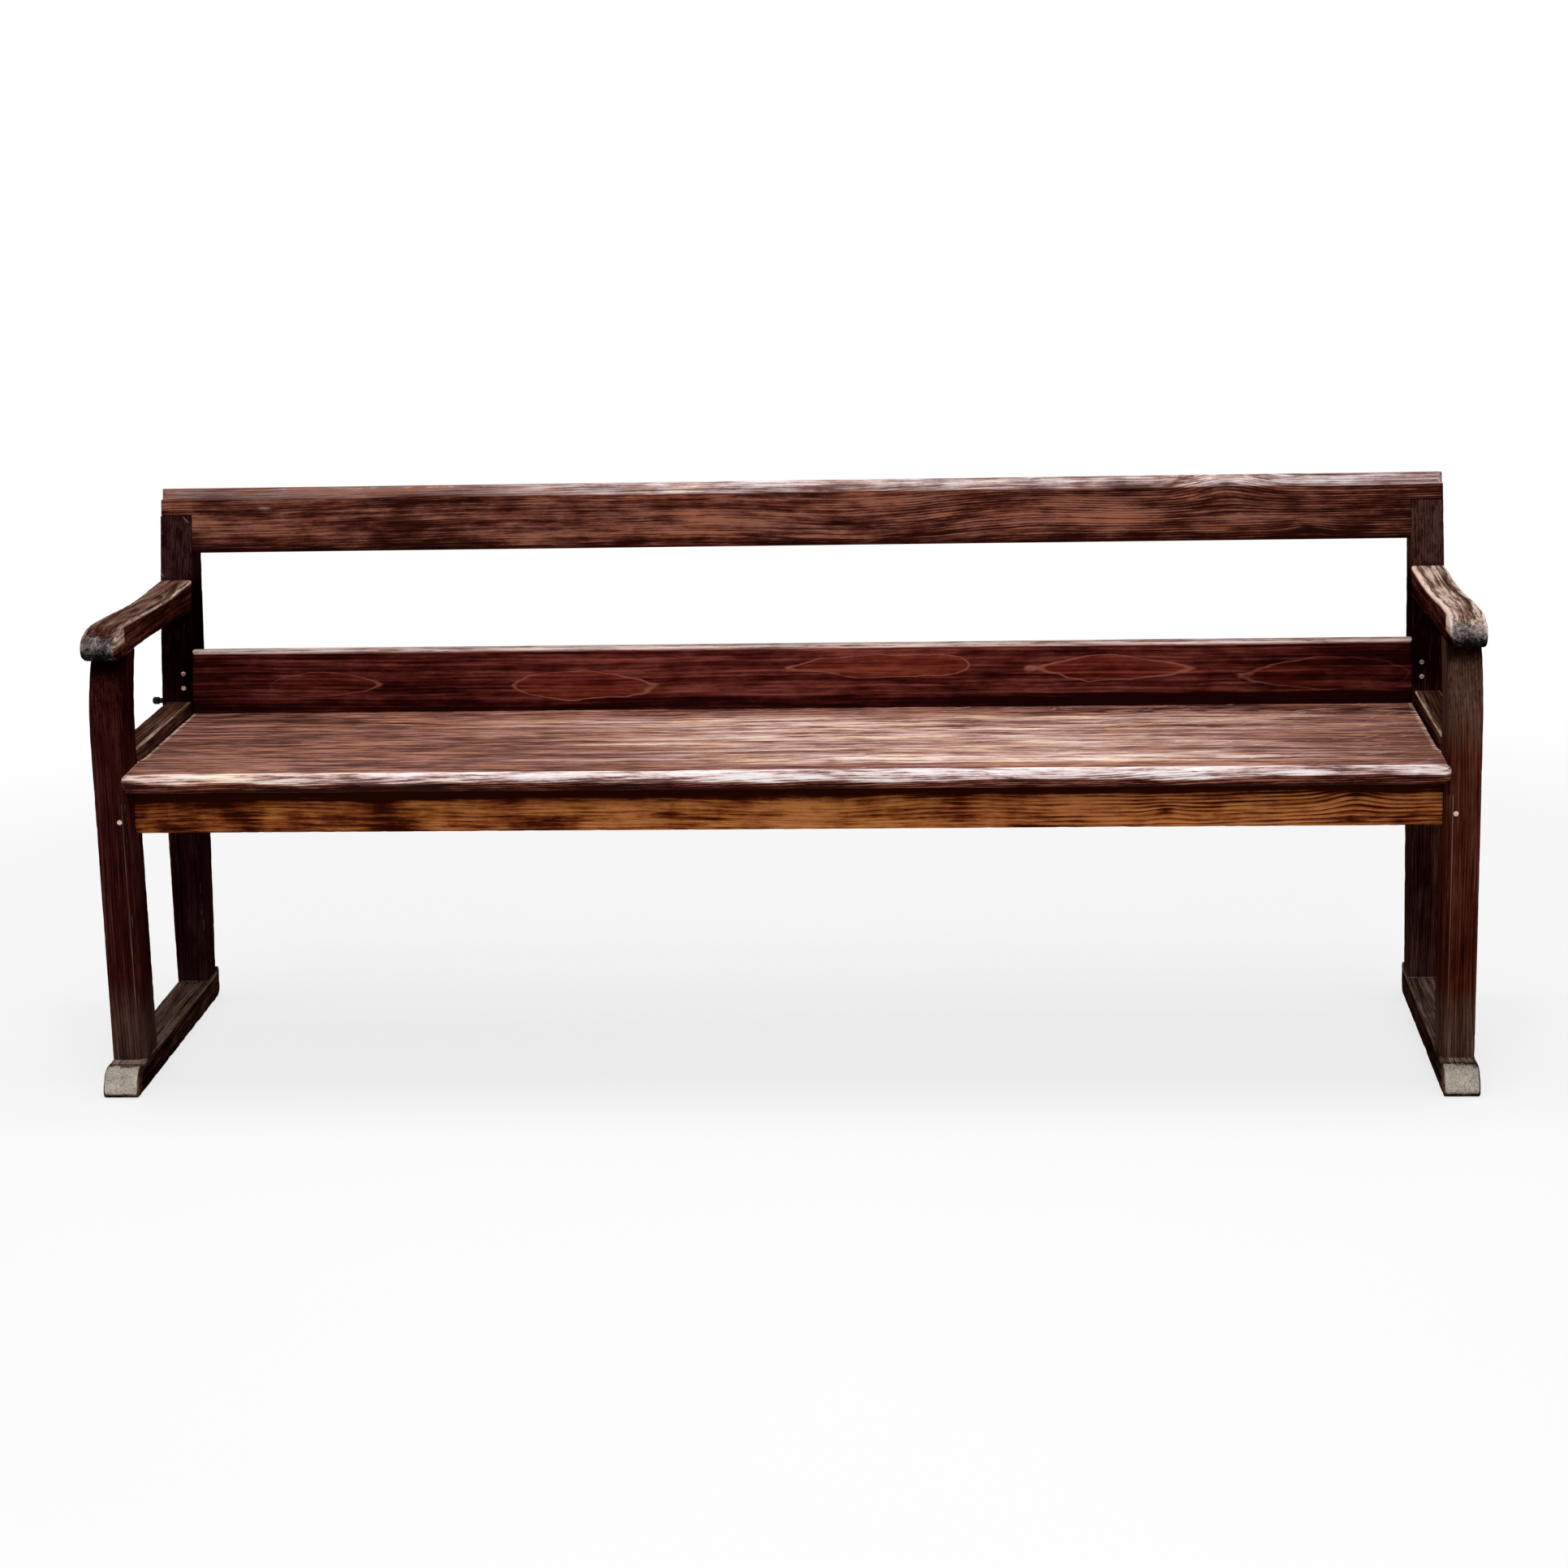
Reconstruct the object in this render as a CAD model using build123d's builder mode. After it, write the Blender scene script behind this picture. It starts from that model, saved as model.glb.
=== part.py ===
from build123d import *
import os
from math import cos, radians, sin, sqrt, tan
from typing import NamedTuple

# Long fixed bench on sledge feet. Two shaped end frames carry a one-plank seat,
# a low back board and a raked top rail, all held by pegged tenons.
# Millimetres. X runs along the bench, Y from front to back, Z up from the floor.
# The origin is on the floor at the middle of the bench's length and depth.

# Driving sizes of the whole bench
half_length = 950.0  # middle of the bench to the outer face of a post
seat_height = 454.0  # floor to the top of the seat
arm_rise = 196.0  # top of the seat to the top of an arm
back_rise = 133.0  # top of an arm to the top of the back
leg_spacing = 375.0  # front face of a front leg to front face of a rear leg

# Fits and worn edges
fit_gap = 0.3  # clearance round tenons, pegs and housed ends
eased = 2.0  # width of the worn arrises
overrun = 10.0  # how far a cut runs past the wood

# Timber of the end frames
post_thick = 47.0
front_leg_depth = 67.0
rear_leg_depth = 52.0  # at the foot
foot_width = 50.0
foot_height = 39.0
foot_reach = 57.0  # tip of the toe in front of the front leg
heel_reach = 15.0  # end of the heel behind the rear leg
heel_lip = 7.0  # height of the upturned heel above the foot
heel_lip_length = 11.0
toe_round_share = 0.78  # of the foot's height
toe_under_share = 0.18
heel_round_share = 0.45
lip_round_share = 0.42  # of the lip's length
lip_hollow_share = 0.3  # of the lip's height

# Sweep of the front posts into the arms
front_sweep = 35.0  # how far back the front edge goes
front_sweep_height = 114.0  # over how much height, up to the arm
rear_sweep = 27.0
rear_sweep_height = 128.0
stop_chamfer_in = 9.0  # stopped chamfer on the inner front arris, along X
stop_chamfer_back = 12.0  # and along Y
stop_height = 13.0  # length of the chamfer's run-out
stop_below_seat = 8.0
stop_tip_share = 0.45  # of the chamfer left where the run-out ends

# Bend and rake of the rear posts
bend_start = 219.0  # floor to where the front edge starts to lean
back_rake = 15.0  # degrees
rear_lean = 7.0  # degrees, of the rear edge
bend_below_arm = 4.0  # end of the bend below the top of the arm

# Arms
arm_width = 49.0
arm_thick = 38.0
arm_crown = 5.0  # rise of the top towards the scroll
arm_dip = 4.0  # hollow of the top behind the middle
arm_dip_share = 0.66  # place of the hollow along the top
arm_heel_drop = 9.0  # how much deeper the arm is at the rear post
nose_reach = 13.0  # scroll in front of the leg's face
nose_roll = 53.0  # length of the scroll's upper curve
nose_drop = 25.0  # height of the scroll's upper curve
nose_tuck = 19.0  # length of the scroll's lower curve
nose_hollow = 4.0  # radius of the hollow behind the scroll
arm_eased = 3.0  # worn arrises of the arm
arm_flat = 10.0  # flat of the underside behind the front post

# Seat and the rails that carry it
seat_thick = 27.0
seat_nosing = 18.0  # in front of the legs
seat_horn = 6.0  # how far the seat's front ends are let into the posts
seat_end_gap = 0.5  # between the seat's ends and the rear posts
seat_horn_tail = 30.0  # length of the taper behind the horn
seat_corner_round = 14.0
nosing_round = 11.0
apron_height = 66.0
apron_thick = 28.0
apron_setback = 28.0  # behind the front face of the legs
side_rail_thick = 38.0
side_rail_inset = 3.0  # behind the inner face of the posts
side_rail_stand = 17.0  # above the seat
rear_rail_thick = 38.0
rear_rail_bearing = 16.0  # width of seat that the rear rail carries
cleat_size = 22.0
cleat_end_gap = 2.0
bearer_width = 45.0
bearer_height = 50.0
bearer_place_share = 0.32  # of the half length

# Back boards
board_thick = 28.0
board_stand = 91.0  # above the seat
board_setback = 3.0  # behind the front face of the rear posts
board_lean = 7.0  # degrees
board_round = 7.0
rail_thick = 30.0
rail_width = 96.0
rail_setback = 3.0
rail_lap = 42.0  # part of the rail that runs over the posts
rail_front_round = 14.0
rail_back_round = 9.0
rail_end_bevel = 3.0
tongue_drop = 11.0  # top of the post's tongue below the top of the rail

# Tenons
foot_tenon_thick = 16.0
foot_tenon_length = 28.0
arm_tenon_thick = 16.0
arm_tenon_length = 22.0
side_tenon_thick = 16.0
side_tenon_length = 24.0
rail_tenon_thick = 12.0
rail_tenon_length = 25.0
bearer_tenon_length = 10.0
tenon_shoulder = 6.0  # wood left above, below and beside a tenon
tenon_root = 8.0  # how far a tenon is drawn inside its own piece
rear_cheek = 8.0  # wood in front of the rear rail's tenon

# Pegs and bolts
peg_sides = 8
peg_half_width = 3.5  # to the middle of a flat
peg_length = 52.0
peg_proud = 0.8
peg_inset = 13.5  # from the inner face of the post
apron_peg_share = 0.35  # of the apron's height, from its lower edge
back_peg_low = 37.0  # above the seat
back_peg_high = 58.0
back_tenon_low = 26.0  # above the seat
back_tenon_high = 72.0
foot_peg_length = 36.0
cleat_peg_length = 40.0
seat_peg_bite = 14.0  # how far a peg goes up into the seat
rail_peg_length = 42.0
rail_peg_spread = 22.0
rail_peg_drop = 21.0  # below the tongue's top
bolt_radius = 4.0
bolt_height = 16.0  # above the seat
bolt_stand = 12.0  # centre of the bolt's knob outside the post
bolt_knob_radius = 5.5
bolt_knob_round = 2.0  # width of the knob's bevelled edges
bolt_depth = 60.0  # how far the bolt goes into the back board
nut_size = 15.0
nut_thick = 8.0
nut_depth = 44.0  # inner face of the nut from the board's end

# Places worked out from the sizes above
inner_x = half_length - post_thick
post_mid = half_length - post_thick / 2
seat_bottom = seat_height - seat_thick
apron_bottom = seat_bottom - apron_height
arm_height = seat_height + arm_rise
arm_bottom = arm_height - arm_thick
back_height = arm_height + back_rise
rake = radians(back_rake)
lean = radians(rear_lean)
rear_foot_y = leg_spacing + rear_leg_depth
heel_y = rear_foot_y + heel_reach
bend_top = arm_height - bend_below_arm
bend_radius = (bend_top - bend_start) / sin(rake)
bend_top_y = leg_spacing + bend_radius * (1 - cos(rake))
rail_bottom = back_height - rail_width * cos(rake)
tongue_top = back_height - tongue_drop


def bend_face(z):
    """Depth of the rear posts' front face at height z, within the bend."""
    return leg_spacing + bend_radius - sqrt(bend_radius**2 - (z - bend_start) ** 2)


def raked_face(z):
    """Depth of the rear posts' front face at height z, above the bend."""
    return bend_top_y + (z - bend_top) * tan(rake)


def rear_edge(z):
    """Depth of the rear posts' rear edge at height z."""
    return rear_foot_y + (z - foot_height) * tan(lean)


def board_face(z):
    """Depth of the low back board's front face at height z."""
    return bend_face(seat_height) + board_setback + (z - seat_height) * tan(radians(board_lean))


# The front face of the front legs lies at local depth 0.
front_y = foot_reach - (foot_reach + rear_edge(tongue_top)) / 2
side = Plane(origin=(0, front_y, 0), x_dir=(0, 1, 0), z_dir=(1, 0, 0))
rail_plane = Plane(
    origin=(0, front_y + raked_face(rail_bottom) + rail_setback / cos(rake), rail_bottom),
    x_dir=(0, cos(rake), -sin(rake)),
    z_dir=(1, 0, 0),
)


class Block(NamedTuple):
    """Limits of a squared piece of wood along X, Y and Z; Y is the depth behind the front legs."""

    x: tuple[float, float]
    y: tuple[float, float]
    z: tuple[float, float]


def block(limits, grow=0, mode=Mode.ADD):
    """Box between the limits, grown on every side."""
    sizes = [high - low + 2 * grow for low, high in limits]
    centre = [(low + high) / 2 for low, high in limits]
    with Locations((centre[0], front_y + centre[1], centre[2])):
        Box(*sizes, mode=mode)


def mortise(limits):
    """Space for a tenon, with its clearance."""
    block(limits, grow=fit_gap, mode=Mode.SUBTRACT)


def eight_sided(half_width, low, high):
    """Eight-sided bar along Z between two heights."""
    with BuildPart(mode=Mode.PRIVATE) as bar:
        with BuildSketch(Plane.XY.offset(low)):
            RegularPolygon(half_width, peg_sides, major_radius=False)
        extrude(amount=high - low)
    return bar.part


def peg(face, length):
    """Whittled peg whose eased end stands just proud of the plane `face`."""
    stick = eight_sided(peg_half_width, -length, peg_proud)
    rim = stick.edges().group_by(Axis.Z)[-1]
    with Locations(face):
        add(stick.chamfer(peg_proud, None, rim))


def peg_hole(face, length):
    """Hole with a peg's clearance, from outside the plane `face` to the length behind it."""
    space = eight_sided(peg_half_width + fit_gap, -length - fit_gap, overrun)
    with Locations(face):
        add(space, mode=Mode.SUBTRACT)


def bolt_hole(face, length):
    """Round hole with a bolt's clearance, from outside the plane `face` to the length behind it."""
    with Locations(face.offset(overrun)):
        Cylinder(
            bolt_radius + fit_gap,
            length + fit_gap + overrun,
            align=(Align.CENTER, Align.CENTER, Align.MAX),
            mode=Mode.SUBTRACT,
        )


def both_ends(limits):
    """A block at the right-hand end and its mirror image at the left."""
    low, high = limits.x
    return limits, Block((-high, -low), limits.y, limits.z)


def mirrored_places(planes):
    """The planes and their mirror images at the other end of the bench."""
    twins = [
        Plane(
            origin=(-plane.origin.X, plane.origin.Y, plane.origin.Z),
            x_dir=(-plane.x_dir.X, plane.x_dir.Y, plane.x_dir.Z),
            z_dir=(-plane.z_dir.X, plane.z_dir.Y, plane.z_dir.Z),
        )
        for plane in planes
    ]
    return planes + twins


def save(piece, name):
    """Label a finished piece and write it as one node."""
    piece.label = name
    export_step(piece, f"parts/{name}.step")


def save_pair(piece, name):
    """Write the right-hand piece and its mirror image at the left end."""
    save(piece, f"right_{name}")
    with BuildPart() as twin:
        mirror(piece, about=Plane.YZ)
    save(twin.part, f"left_{name}")


os.makedirs("parts", exist_ok=True)

# Tenons, each named for the piece that carries it; right-hand end where there are two
front_foot_tenon = Block(
    (post_mid - foot_tenon_thick / 2, post_mid + foot_tenon_thick / 2),
    (tenon_shoulder, front_leg_depth - tenon_shoulder),
    (foot_height - foot_tenon_length, foot_height + tenon_root),
)
rear_foot_tenon = Block(
    (post_mid - foot_tenon_thick / 2, post_mid + foot_tenon_thick / 2),
    (leg_spacing + tenon_shoulder, rear_foot_y - tenon_shoulder),
    (foot_height - foot_tenon_length, foot_height + tenon_root),
)
arm_front_tenon = Block(
    (post_mid - arm_tenon_thick / 2, post_mid + arm_tenon_thick / 2),
    (front_sweep + tenon_shoulder, front_leg_depth + rear_sweep - tenon_shoulder),
    (arm_bottom - tenon_root, arm_bottom + arm_tenon_length),
)
arm_rear_tenon = Block(
    (post_mid - arm_tenon_thick / 2, post_mid + arm_tenon_thick / 2),
    (bend_face(arm_bottom) - tenon_root, bend_face(arm_bottom) + arm_tenon_length),
    (arm_bottom + tenon_shoulder, arm_height - arm_dip - tenon_shoulder),
)
side_rail_mid = inner_x + side_rail_inset + side_rail_thick / 2
side_tenon_x = (side_rail_mid - side_tenon_thick / 2, side_rail_mid + side_tenon_thick / 2)
side_tenon_z = (seat_bottom + tenon_shoulder, seat_height + tenon_shoulder)
side_front_tenon = Block(
    side_tenon_x,
    (front_leg_depth - side_tenon_length, front_leg_depth + tenon_root),
    side_tenon_z,
)
side_rear_tenon = Block(
    side_tenon_x,
    (bend_face(seat_bottom) - tenon_root, bend_face(seat_bottom) + side_tenon_length),
    side_tenon_z,
)
apron_mid_y = apron_setback + apron_thick / 2
apron_tenon = Block(
    (inner_x - tenon_root, inner_x + rail_tenon_length),
    (apron_mid_y - rail_tenon_thick / 2, apron_mid_y + rail_tenon_thick / 2),
    (apron_bottom + tenon_shoulder, seat_bottom - tenon_shoulder),
)
rear_rail_y = board_face(seat_bottom) - rear_rail_bearing
rear_tenon_y = bend_face(seat_bottom) + rear_cheek
rear_rail_tenon = Block(
    (inner_x - tenon_root, inner_x + rail_tenon_length),
    (rear_tenon_y, rear_tenon_y + rail_tenon_thick),
    (apron_bottom + tenon_shoulder, seat_bottom - tenon_shoulder),
)
board_tenon_z = (seat_height + back_tenon_low, seat_height + back_tenon_high)
board_tenon_y = board_face(sum(board_tenon_z) / 2) + (board_thick - rail_tenon_thick) / 2
board_tenon = Block(
    (inner_x - tenon_root, inner_x + rail_tenon_length),
    (board_tenon_y, board_tenon_y + rail_tenon_thick),
    board_tenon_z,
)
bearer_x = bearer_place_share * half_length
bearer_tenon_x = (bearer_x - bearer_width / 2 + tenon_shoulder, bearer_x + bearer_width / 2 - tenon_shoulder)
bearer_tenon_z = (seat_bottom - bearer_height + tenon_shoulder, seat_bottom - tenon_shoulder)
bearer_front_tenon = Block(
    bearer_tenon_x,
    (apron_setback + apron_thick - bearer_tenon_length, apron_setback + apron_thick + tenon_root),
    bearer_tenon_z,
)
bearer_rear_tenon = Block(
    bearer_tenon_x,
    (rear_rail_y - tenon_root, rear_rail_y + bearer_tenon_length),
    bearer_tenon_z,
)

# Faces where pegs and bolts enter, at the right-hand end
peg_x = inner_x + peg_inset
apron_peg_face = Plane(
    origin=(peg_x, front_y, apron_bottom + apron_peg_share * apron_height), z_dir=(0, -1, 0)
)
back_peg_faces = [
    Plane(origin=(peg_x, front_y + bend_face(z), z), z_dir=(0, -1, 0))
    for z in (seat_height + back_peg_low, seat_height + back_peg_high)
]
foot_peg_z = foot_height - foot_tenon_length / 2
foot_peg_faces = [
    Plane(origin=(post_mid + foot_width / 2, front_y + y, foot_peg_z), z_dir=(1, 0, 0))
    for y in (front_leg_depth / 2, leg_spacing + rear_leg_depth / 2)
]
bolt_z = seat_height + bolt_height
bolt_y = board_face(bolt_z) + board_thick / 2
bolt_face = Plane(origin=(half_length, front_y + bolt_y, bolt_z), z_dir=(1, 0, 0))
nut_block = Block(
    (inner_x - nut_depth, inner_x - nut_depth + nut_thick),
    (bolt_y - nut_size / 2, bolt_y + nut_size / 2),
    (bolt_z - nut_size / 2, bolt_z + nut_size / 2),
)
rail_peg_z = tongue_top - rail_peg_drop
rail_peg_faces = [
    Plane(origin=(x, front_y + rear_edge(rail_peg_z), rail_peg_z), z_dir=(0, cos(lean), -sin(lean)))
    for x in (post_mid - rail_peg_spread / 2, post_mid + rail_peg_spread / 2)
]
cleat_x = inner_x + side_rail_inset - cleat_size / 2
cleat_span = (front_leg_depth + cleat_end_gap, rear_rail_y - cleat_end_gap)
cleat_third = (cleat_span[1] - cleat_span[0]) / 3
seat_peg_faces, bearer_peg_faces = (
    [
        Plane(origin=(x, front_y + y, z), z_dir=(0, 0, -1))
        for y in (cleat_span[0] + cleat_third, cleat_span[1] - cleat_third)
    ]
    for x, z in (
        (cleat_x - cleat_size / 8, seat_bottom - cleat_size),
        (bearer_x, seat_bottom - bearer_height),
    )
)
seat_peg_length = cleat_size + seat_peg_bite
bearer_peg_length = bearer_height + seat_peg_bite
cleat_peg_faces = [
    Plane(origin=(cleat_x - cleat_size / 2, front_y + y, seat_bottom - cleat_size / 2), z_dir=(-1, 0, 0))
    for y in (cleat_span[0] + cleat_third / 2, cleat_span[1] - cleat_third / 2)
]


def rear_post_outline():
    """Rear post from the foot to its tongue: straight, bent back, then raked."""
    with BuildSketch() as outline:
        with BuildLine():
            shank = Line((leg_spacing, foot_height), (leg_spacing, bend_start))
            bend = JernArc(shank @ 1, (0, 1), bend_radius, -back_rake)
            upper = Line(bend @ 1, (raked_face(tongue_top), tongue_top))
            crown = Line(upper @ 1, (rear_edge(tongue_top), tongue_top))
            back = Line(crown @ 1, (rear_foot_y, foot_height))
            Line(back @ 1, shank @ 0)
        make_face()
    return outline.sketch


def corner_cut(share):
    """Section of the stopped chamfer, at a share of its full size, from outside the arris."""
    with BuildSketch() as section:
        with BuildLine():
            Polyline(
                (share * stop_chamfer_in, 0),
                (share * stop_chamfer_in, -overrun),
                (-overrun, -overrun),
                (-overrun, share * stop_chamfer_back),
                (0, share * stop_chamfer_back),
                close=True,
            )
        make_face()
    return section.sketch


# Space that the rear post fills, for the pieces that are scribed to it
with BuildPart() as rear_post_space:
    with BuildSketch(side.offset(inner_x - overrun)):
        add(rear_post_outline())
        offset(amount=fit_gap, kind=Kind.INTERSECTION)
    extrude(amount=post_thick + 2 * overrun)

# Sledge foot with a rounded toe and an upturned heel
with BuildPart() as foot:
    with BuildSketch(side.offset(post_mid - foot_width / 2)):
        with BuildLine():
            Polyline(
                (-foot_reach, 0),
                (heel_y, 0),
                (heel_y, foot_height + heel_lip),
                (heel_y - heel_lip_length, foot_height + heel_lip),
                (heel_y - heel_lip_length, foot_height),
                (-foot_reach, foot_height),
                close=True,
            )
        make_face()
        lip_corner = vertices().group_by(Axis.X)[1].sort_by(Axis.Y)[0]
        fillet(lip_corner, lip_hollow_share * heel_lip)
        fillet(vertices().group_by(Axis.Y)[-1], lip_round_share * heel_lip_length)
        fillet(vertices().group_by(Axis.X)[0].sort_by(Axis.Y)[-1], toe_round_share * foot_height)
        fillet(vertices().group_by(Axis.X)[0].sort_by(Axis.Y)[0], toe_under_share * foot_height)
        fillet(vertices().group_by(Axis.X)[-1].sort_by(Axis.Y)[0], heel_round_share * foot_height)
    extrude(amount=foot_width)
    chamfer(foot.edges().filter_by(Axis.X, reverse=True), eased)
    mortise(front_foot_tenon)
    mortise(rear_foot_tenon)
    for face in foot_peg_faces:
        peg_hole(face, foot_peg_length)
save_pair(foot.part, "foot")

# Front post: straight leg below the seat, swept back into the arm above it
with BuildPart() as front_post:
    with BuildSketch(side.offset(inner_x)):
        with BuildLine():
            leg_front = Line((0, foot_height), (0, arm_bottom - front_sweep_height))
            front_curve = TangentArc(leg_front @ 1, (front_sweep, arm_bottom), tangent=(0, 1))
            head = Line(front_curve @ 1, (front_leg_depth + rear_sweep, arm_bottom))
            rear_curve = TangentArc(
                (front_leg_depth, arm_bottom - rear_sweep_height), head @ 1, tangent=(0, 1)
            )
            leg_rear = Line(rear_curve @ 0, (front_leg_depth, foot_height))
            Line(leg_rear @ 1, leg_front @ 0)
        make_face()
    extrude(amount=post_thick)
    chamfer(front_post.edges().filter_by(Axis.X, reverse=True).filter_by(Axis.Y, reverse=True), eased)
    chamfer_top = seat_bottom - stop_below_seat
    chamfer_corner = Plane(origin=(inner_x, front_y, foot_height - overrun))
    with BuildSketch(chamfer_corner):
        add(corner_cut(1))
    extrude(amount=chamfer_top - stop_height - chamfer_corner.origin.Z, mode=Mode.SUBTRACT)
    for z, share in ((chamfer_top - stop_height, 1), (chamfer_top, stop_tip_share)):
        with BuildSketch(Plane(origin=(inner_x, front_y, z))):
            add(corner_cut(share))
    loft(mode=Mode.SUBTRACT)
    block(front_foot_tenon)
    block(arm_front_tenon)
    mortise(apron_tenon)
    mortise(side_front_tenon)
    mortise(
        Block(
            (inner_x - overrun, inner_x + seat_horn),
            (-overrun, front_leg_depth + overrun),
            (seat_bottom, seat_height),
        )
    )
    peg_hole(apron_peg_face, peg_length)
    peg_hole(foot_peg_faces[0], foot_peg_length)
save_pair(front_post.part, "front_post")

# Rear post: its tongue rises behind the top rail, which rests on the shoulder in front of it
with BuildPart() as rear_post:
    with BuildSketch(side.offset(inner_x)):
        add(rear_post_outline())
    extrude(amount=post_thick)
    chamfer(rear_post.edges().filter_by(Axis.X, reverse=True).filter_by(Axis.Y, reverse=True), eased)
    with BuildSketch(rail_plane.offset(inner_x - overrun)):
        with Locations((-rail_setback - overrun, rail_width - rail_lap)):
            Rectangle(
                rail_setback + overrun + rail_thick + fit_gap,
                rail_lap + overrun,
                align=(Align.MIN, Align.MIN),
            )
    extrude(amount=post_thick + 2 * overrun, mode=Mode.SUBTRACT)
    block(rear_foot_tenon)
    mortise(arm_rear_tenon)
    mortise(side_rear_tenon)
    mortise(rear_rail_tenon)
    mortise(board_tenon)
    for face in back_peg_faces:
        peg_hole(face, peg_length)
    peg_hole(foot_peg_faces[1], foot_peg_length)
    bolt_hole(bolt_face, post_thick + overrun)
    for face in rail_peg_faces:
        peg_hole(face, rail_peg_length)
save_pair(rear_post.part, "rear_post")

# Arm: dished on top, with a scroll that overhangs the front post
with BuildPart() as arm:
    arm_end = bend_face(arm_bottom) + rear_leg_depth / 2
    nose_tip = (-nose_reach, arm_height + arm_crown - nose_drop)
    crown_start = (nose_roll - nose_reach, arm_height + arm_crown)
    dip_y = crown_start[0] + arm_dip_share * (arm_end - crown_start[0])
    with BuildSketch(side.offset(post_mid - arm_width / 2)):
        with BuildLine():
            roll = TangentArc(crown_start, nose_tip, tangent=(-1, 0))
            tuck = TangentArc(roll @ 1, (nose_tuck - nose_reach, arm_bottom), tangent=roll % 1)
            flat = Line(tuck @ 1, (front_leg_depth + rear_sweep + arm_flat, arm_bottom))
            under = TangentArc(flat @ 1, (arm_end, arm_bottom - arm_heel_drop), tangent=(1, 0))
            end = Line(under @ 1, (arm_end, arm_height))
            Spline(
                crown_start,
                (dip_y, arm_height - arm_dip),
                end @ 1,
                tangents=((1, 0), (cos(rake / 2), sin(rake / 2))),
            )
        make_face()
        fillet(vertices().sort_by_distance(tuck @ 1)[0], nose_hollow)
    extrude(amount=arm_width)
    chamfer(arm.edges().filter_by(Axis.X, reverse=True).filter_by(Axis.Z, reverse=True), arm_eased)
    add(rear_post_space.part, mode=Mode.SUBTRACT)
    block(arm_rear_tenon)
    mortise(arm_front_tenon)
save_pair(arm.part, "arm")

# Side rail: carries the arm end's cleat and stands above the seat between the posts
with BuildPart() as side_rail:
    block(
        Block(
            (side_rail_mid - side_rail_thick / 2, side_rail_mid + side_rail_thick / 2),
            (front_leg_depth, bend_face(seat_height) + rear_leg_depth / 2),
            (apron_bottom, seat_height + side_rail_stand),
        )
    )
    chamfer(side_rail.edges().filter_by(Axis.Y).group_by(Axis.Z)[-1], eased)
    add(rear_post_space.part, mode=Mode.SUBTRACT)
    block(side_front_tenon)
    block(side_rear_tenon)
    for face in cleat_peg_faces:
        peg_hole(face, cleat_peg_length)
save_pair(side_rail.part, "side_rail")

# Cleat under the seat's end
with BuildPart() as seat_cleat:
    block(
        Block(
            (cleat_x - cleat_size / 2, cleat_x + cleat_size / 2),
            cleat_span,
            (seat_bottom - cleat_size, seat_bottom),
        )
    )
    for face in cleat_peg_faces:
        peg_hole(face, cleat_peg_length)
    for face in seat_peg_faces:
        peg_hole(face, seat_peg_length)
save_pair(seat_cleat.part, "seat_cleat")

# Bearer across the bench, tenoned between the apron and the rear rail
with BuildPart() as seat_bearer:
    block(
        Block(
            (bearer_x - bearer_width / 2, bearer_x + bearer_width / 2),
            (apron_setback + apron_thick, rear_rail_y),
            (seat_bottom - bearer_height, seat_bottom),
        )
    )
    chamfer(seat_bearer.edges().filter_by(Axis.Y).group_by(Axis.Z)[0], eased)
    block(bearer_front_tenon)
    block(bearer_rear_tenon)
    for face in bearer_peg_faces:
        peg_hole(face, bearer_peg_length)
save_pair(seat_bearer.part, "seat_bearer")

# Seat: one wide plank with a rounded front edge and ends let into the front posts
with BuildPart() as seat_board:
    with BuildSketch(Plane(origin=(0, front_y, seat_bottom))):
        with BuildLine():
            Polyline(
                (0, -seat_nosing),
                (inner_x + seat_horn, -seat_nosing),
                (inner_x + seat_horn, front_leg_depth - seat_horn),
                (inner_x, front_leg_depth),
                (inner_x - seat_end_gap, front_leg_depth + seat_horn_tail),
                (inner_x - seat_end_gap, board_face(seat_bottom) - fit_gap),
                (0, board_face(seat_bottom) - fit_gap),
            )
            mirror(about=Plane.YZ)
        make_face()
    extrude(amount=seat_thick)
    fillet(seat_board.edges().filter_by(Axis.Z).group_by(Axis.Y)[0], seat_corner_round)
    fillet(seat_board.edges().filter_by(Axis.X).group_by(Axis.Y)[0], nosing_round)
    for face in mirrored_places(seat_peg_faces):
        peg_hole(face, seat_peg_length)
    for face in mirrored_places(bearer_peg_faces):
        peg_hole(face, bearer_peg_length)
save(seat_board.part, "seat_board")

# Front apron under the seat, set back between the legs
with BuildPart() as front_apron:
    block(
        Block(
            (-inner_x, inner_x),
            (apron_setback, apron_setback + apron_thick),
            (apron_bottom, seat_bottom),
        )
    )
    chamfer(front_apron.edges().filter_by(Axis.X).group_by(Axis.Z)[0], eased)
    for limits in both_ends(apron_tenon):
        block(limits)
    for limits in both_ends(bearer_front_tenon):
        mortise(limits)
    for face in mirrored_places([apron_peg_face]):
        peg_hole(face, peg_length)
save(front_apron.part, "front_apron")

# Rear rail: carries the seat's rear edge and the low back board
with BuildPart() as rear_seat_rail:
    block(
        Block(
            (-inner_x, inner_x),
            (rear_rail_y, rear_rail_y + rear_rail_thick),
            (apron_bottom, seat_bottom),
        )
    )
    chamfer(rear_seat_rail.edges().filter_by(Axis.X).group_by(Axis.Z)[0], eased)
    for limits in both_ends(rear_rail_tenon):
        block(limits)
    for limits in both_ends(bearer_rear_tenon):
        mortise(limits)
save(rear_seat_rail.part, "rear_seat_rail")

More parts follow.
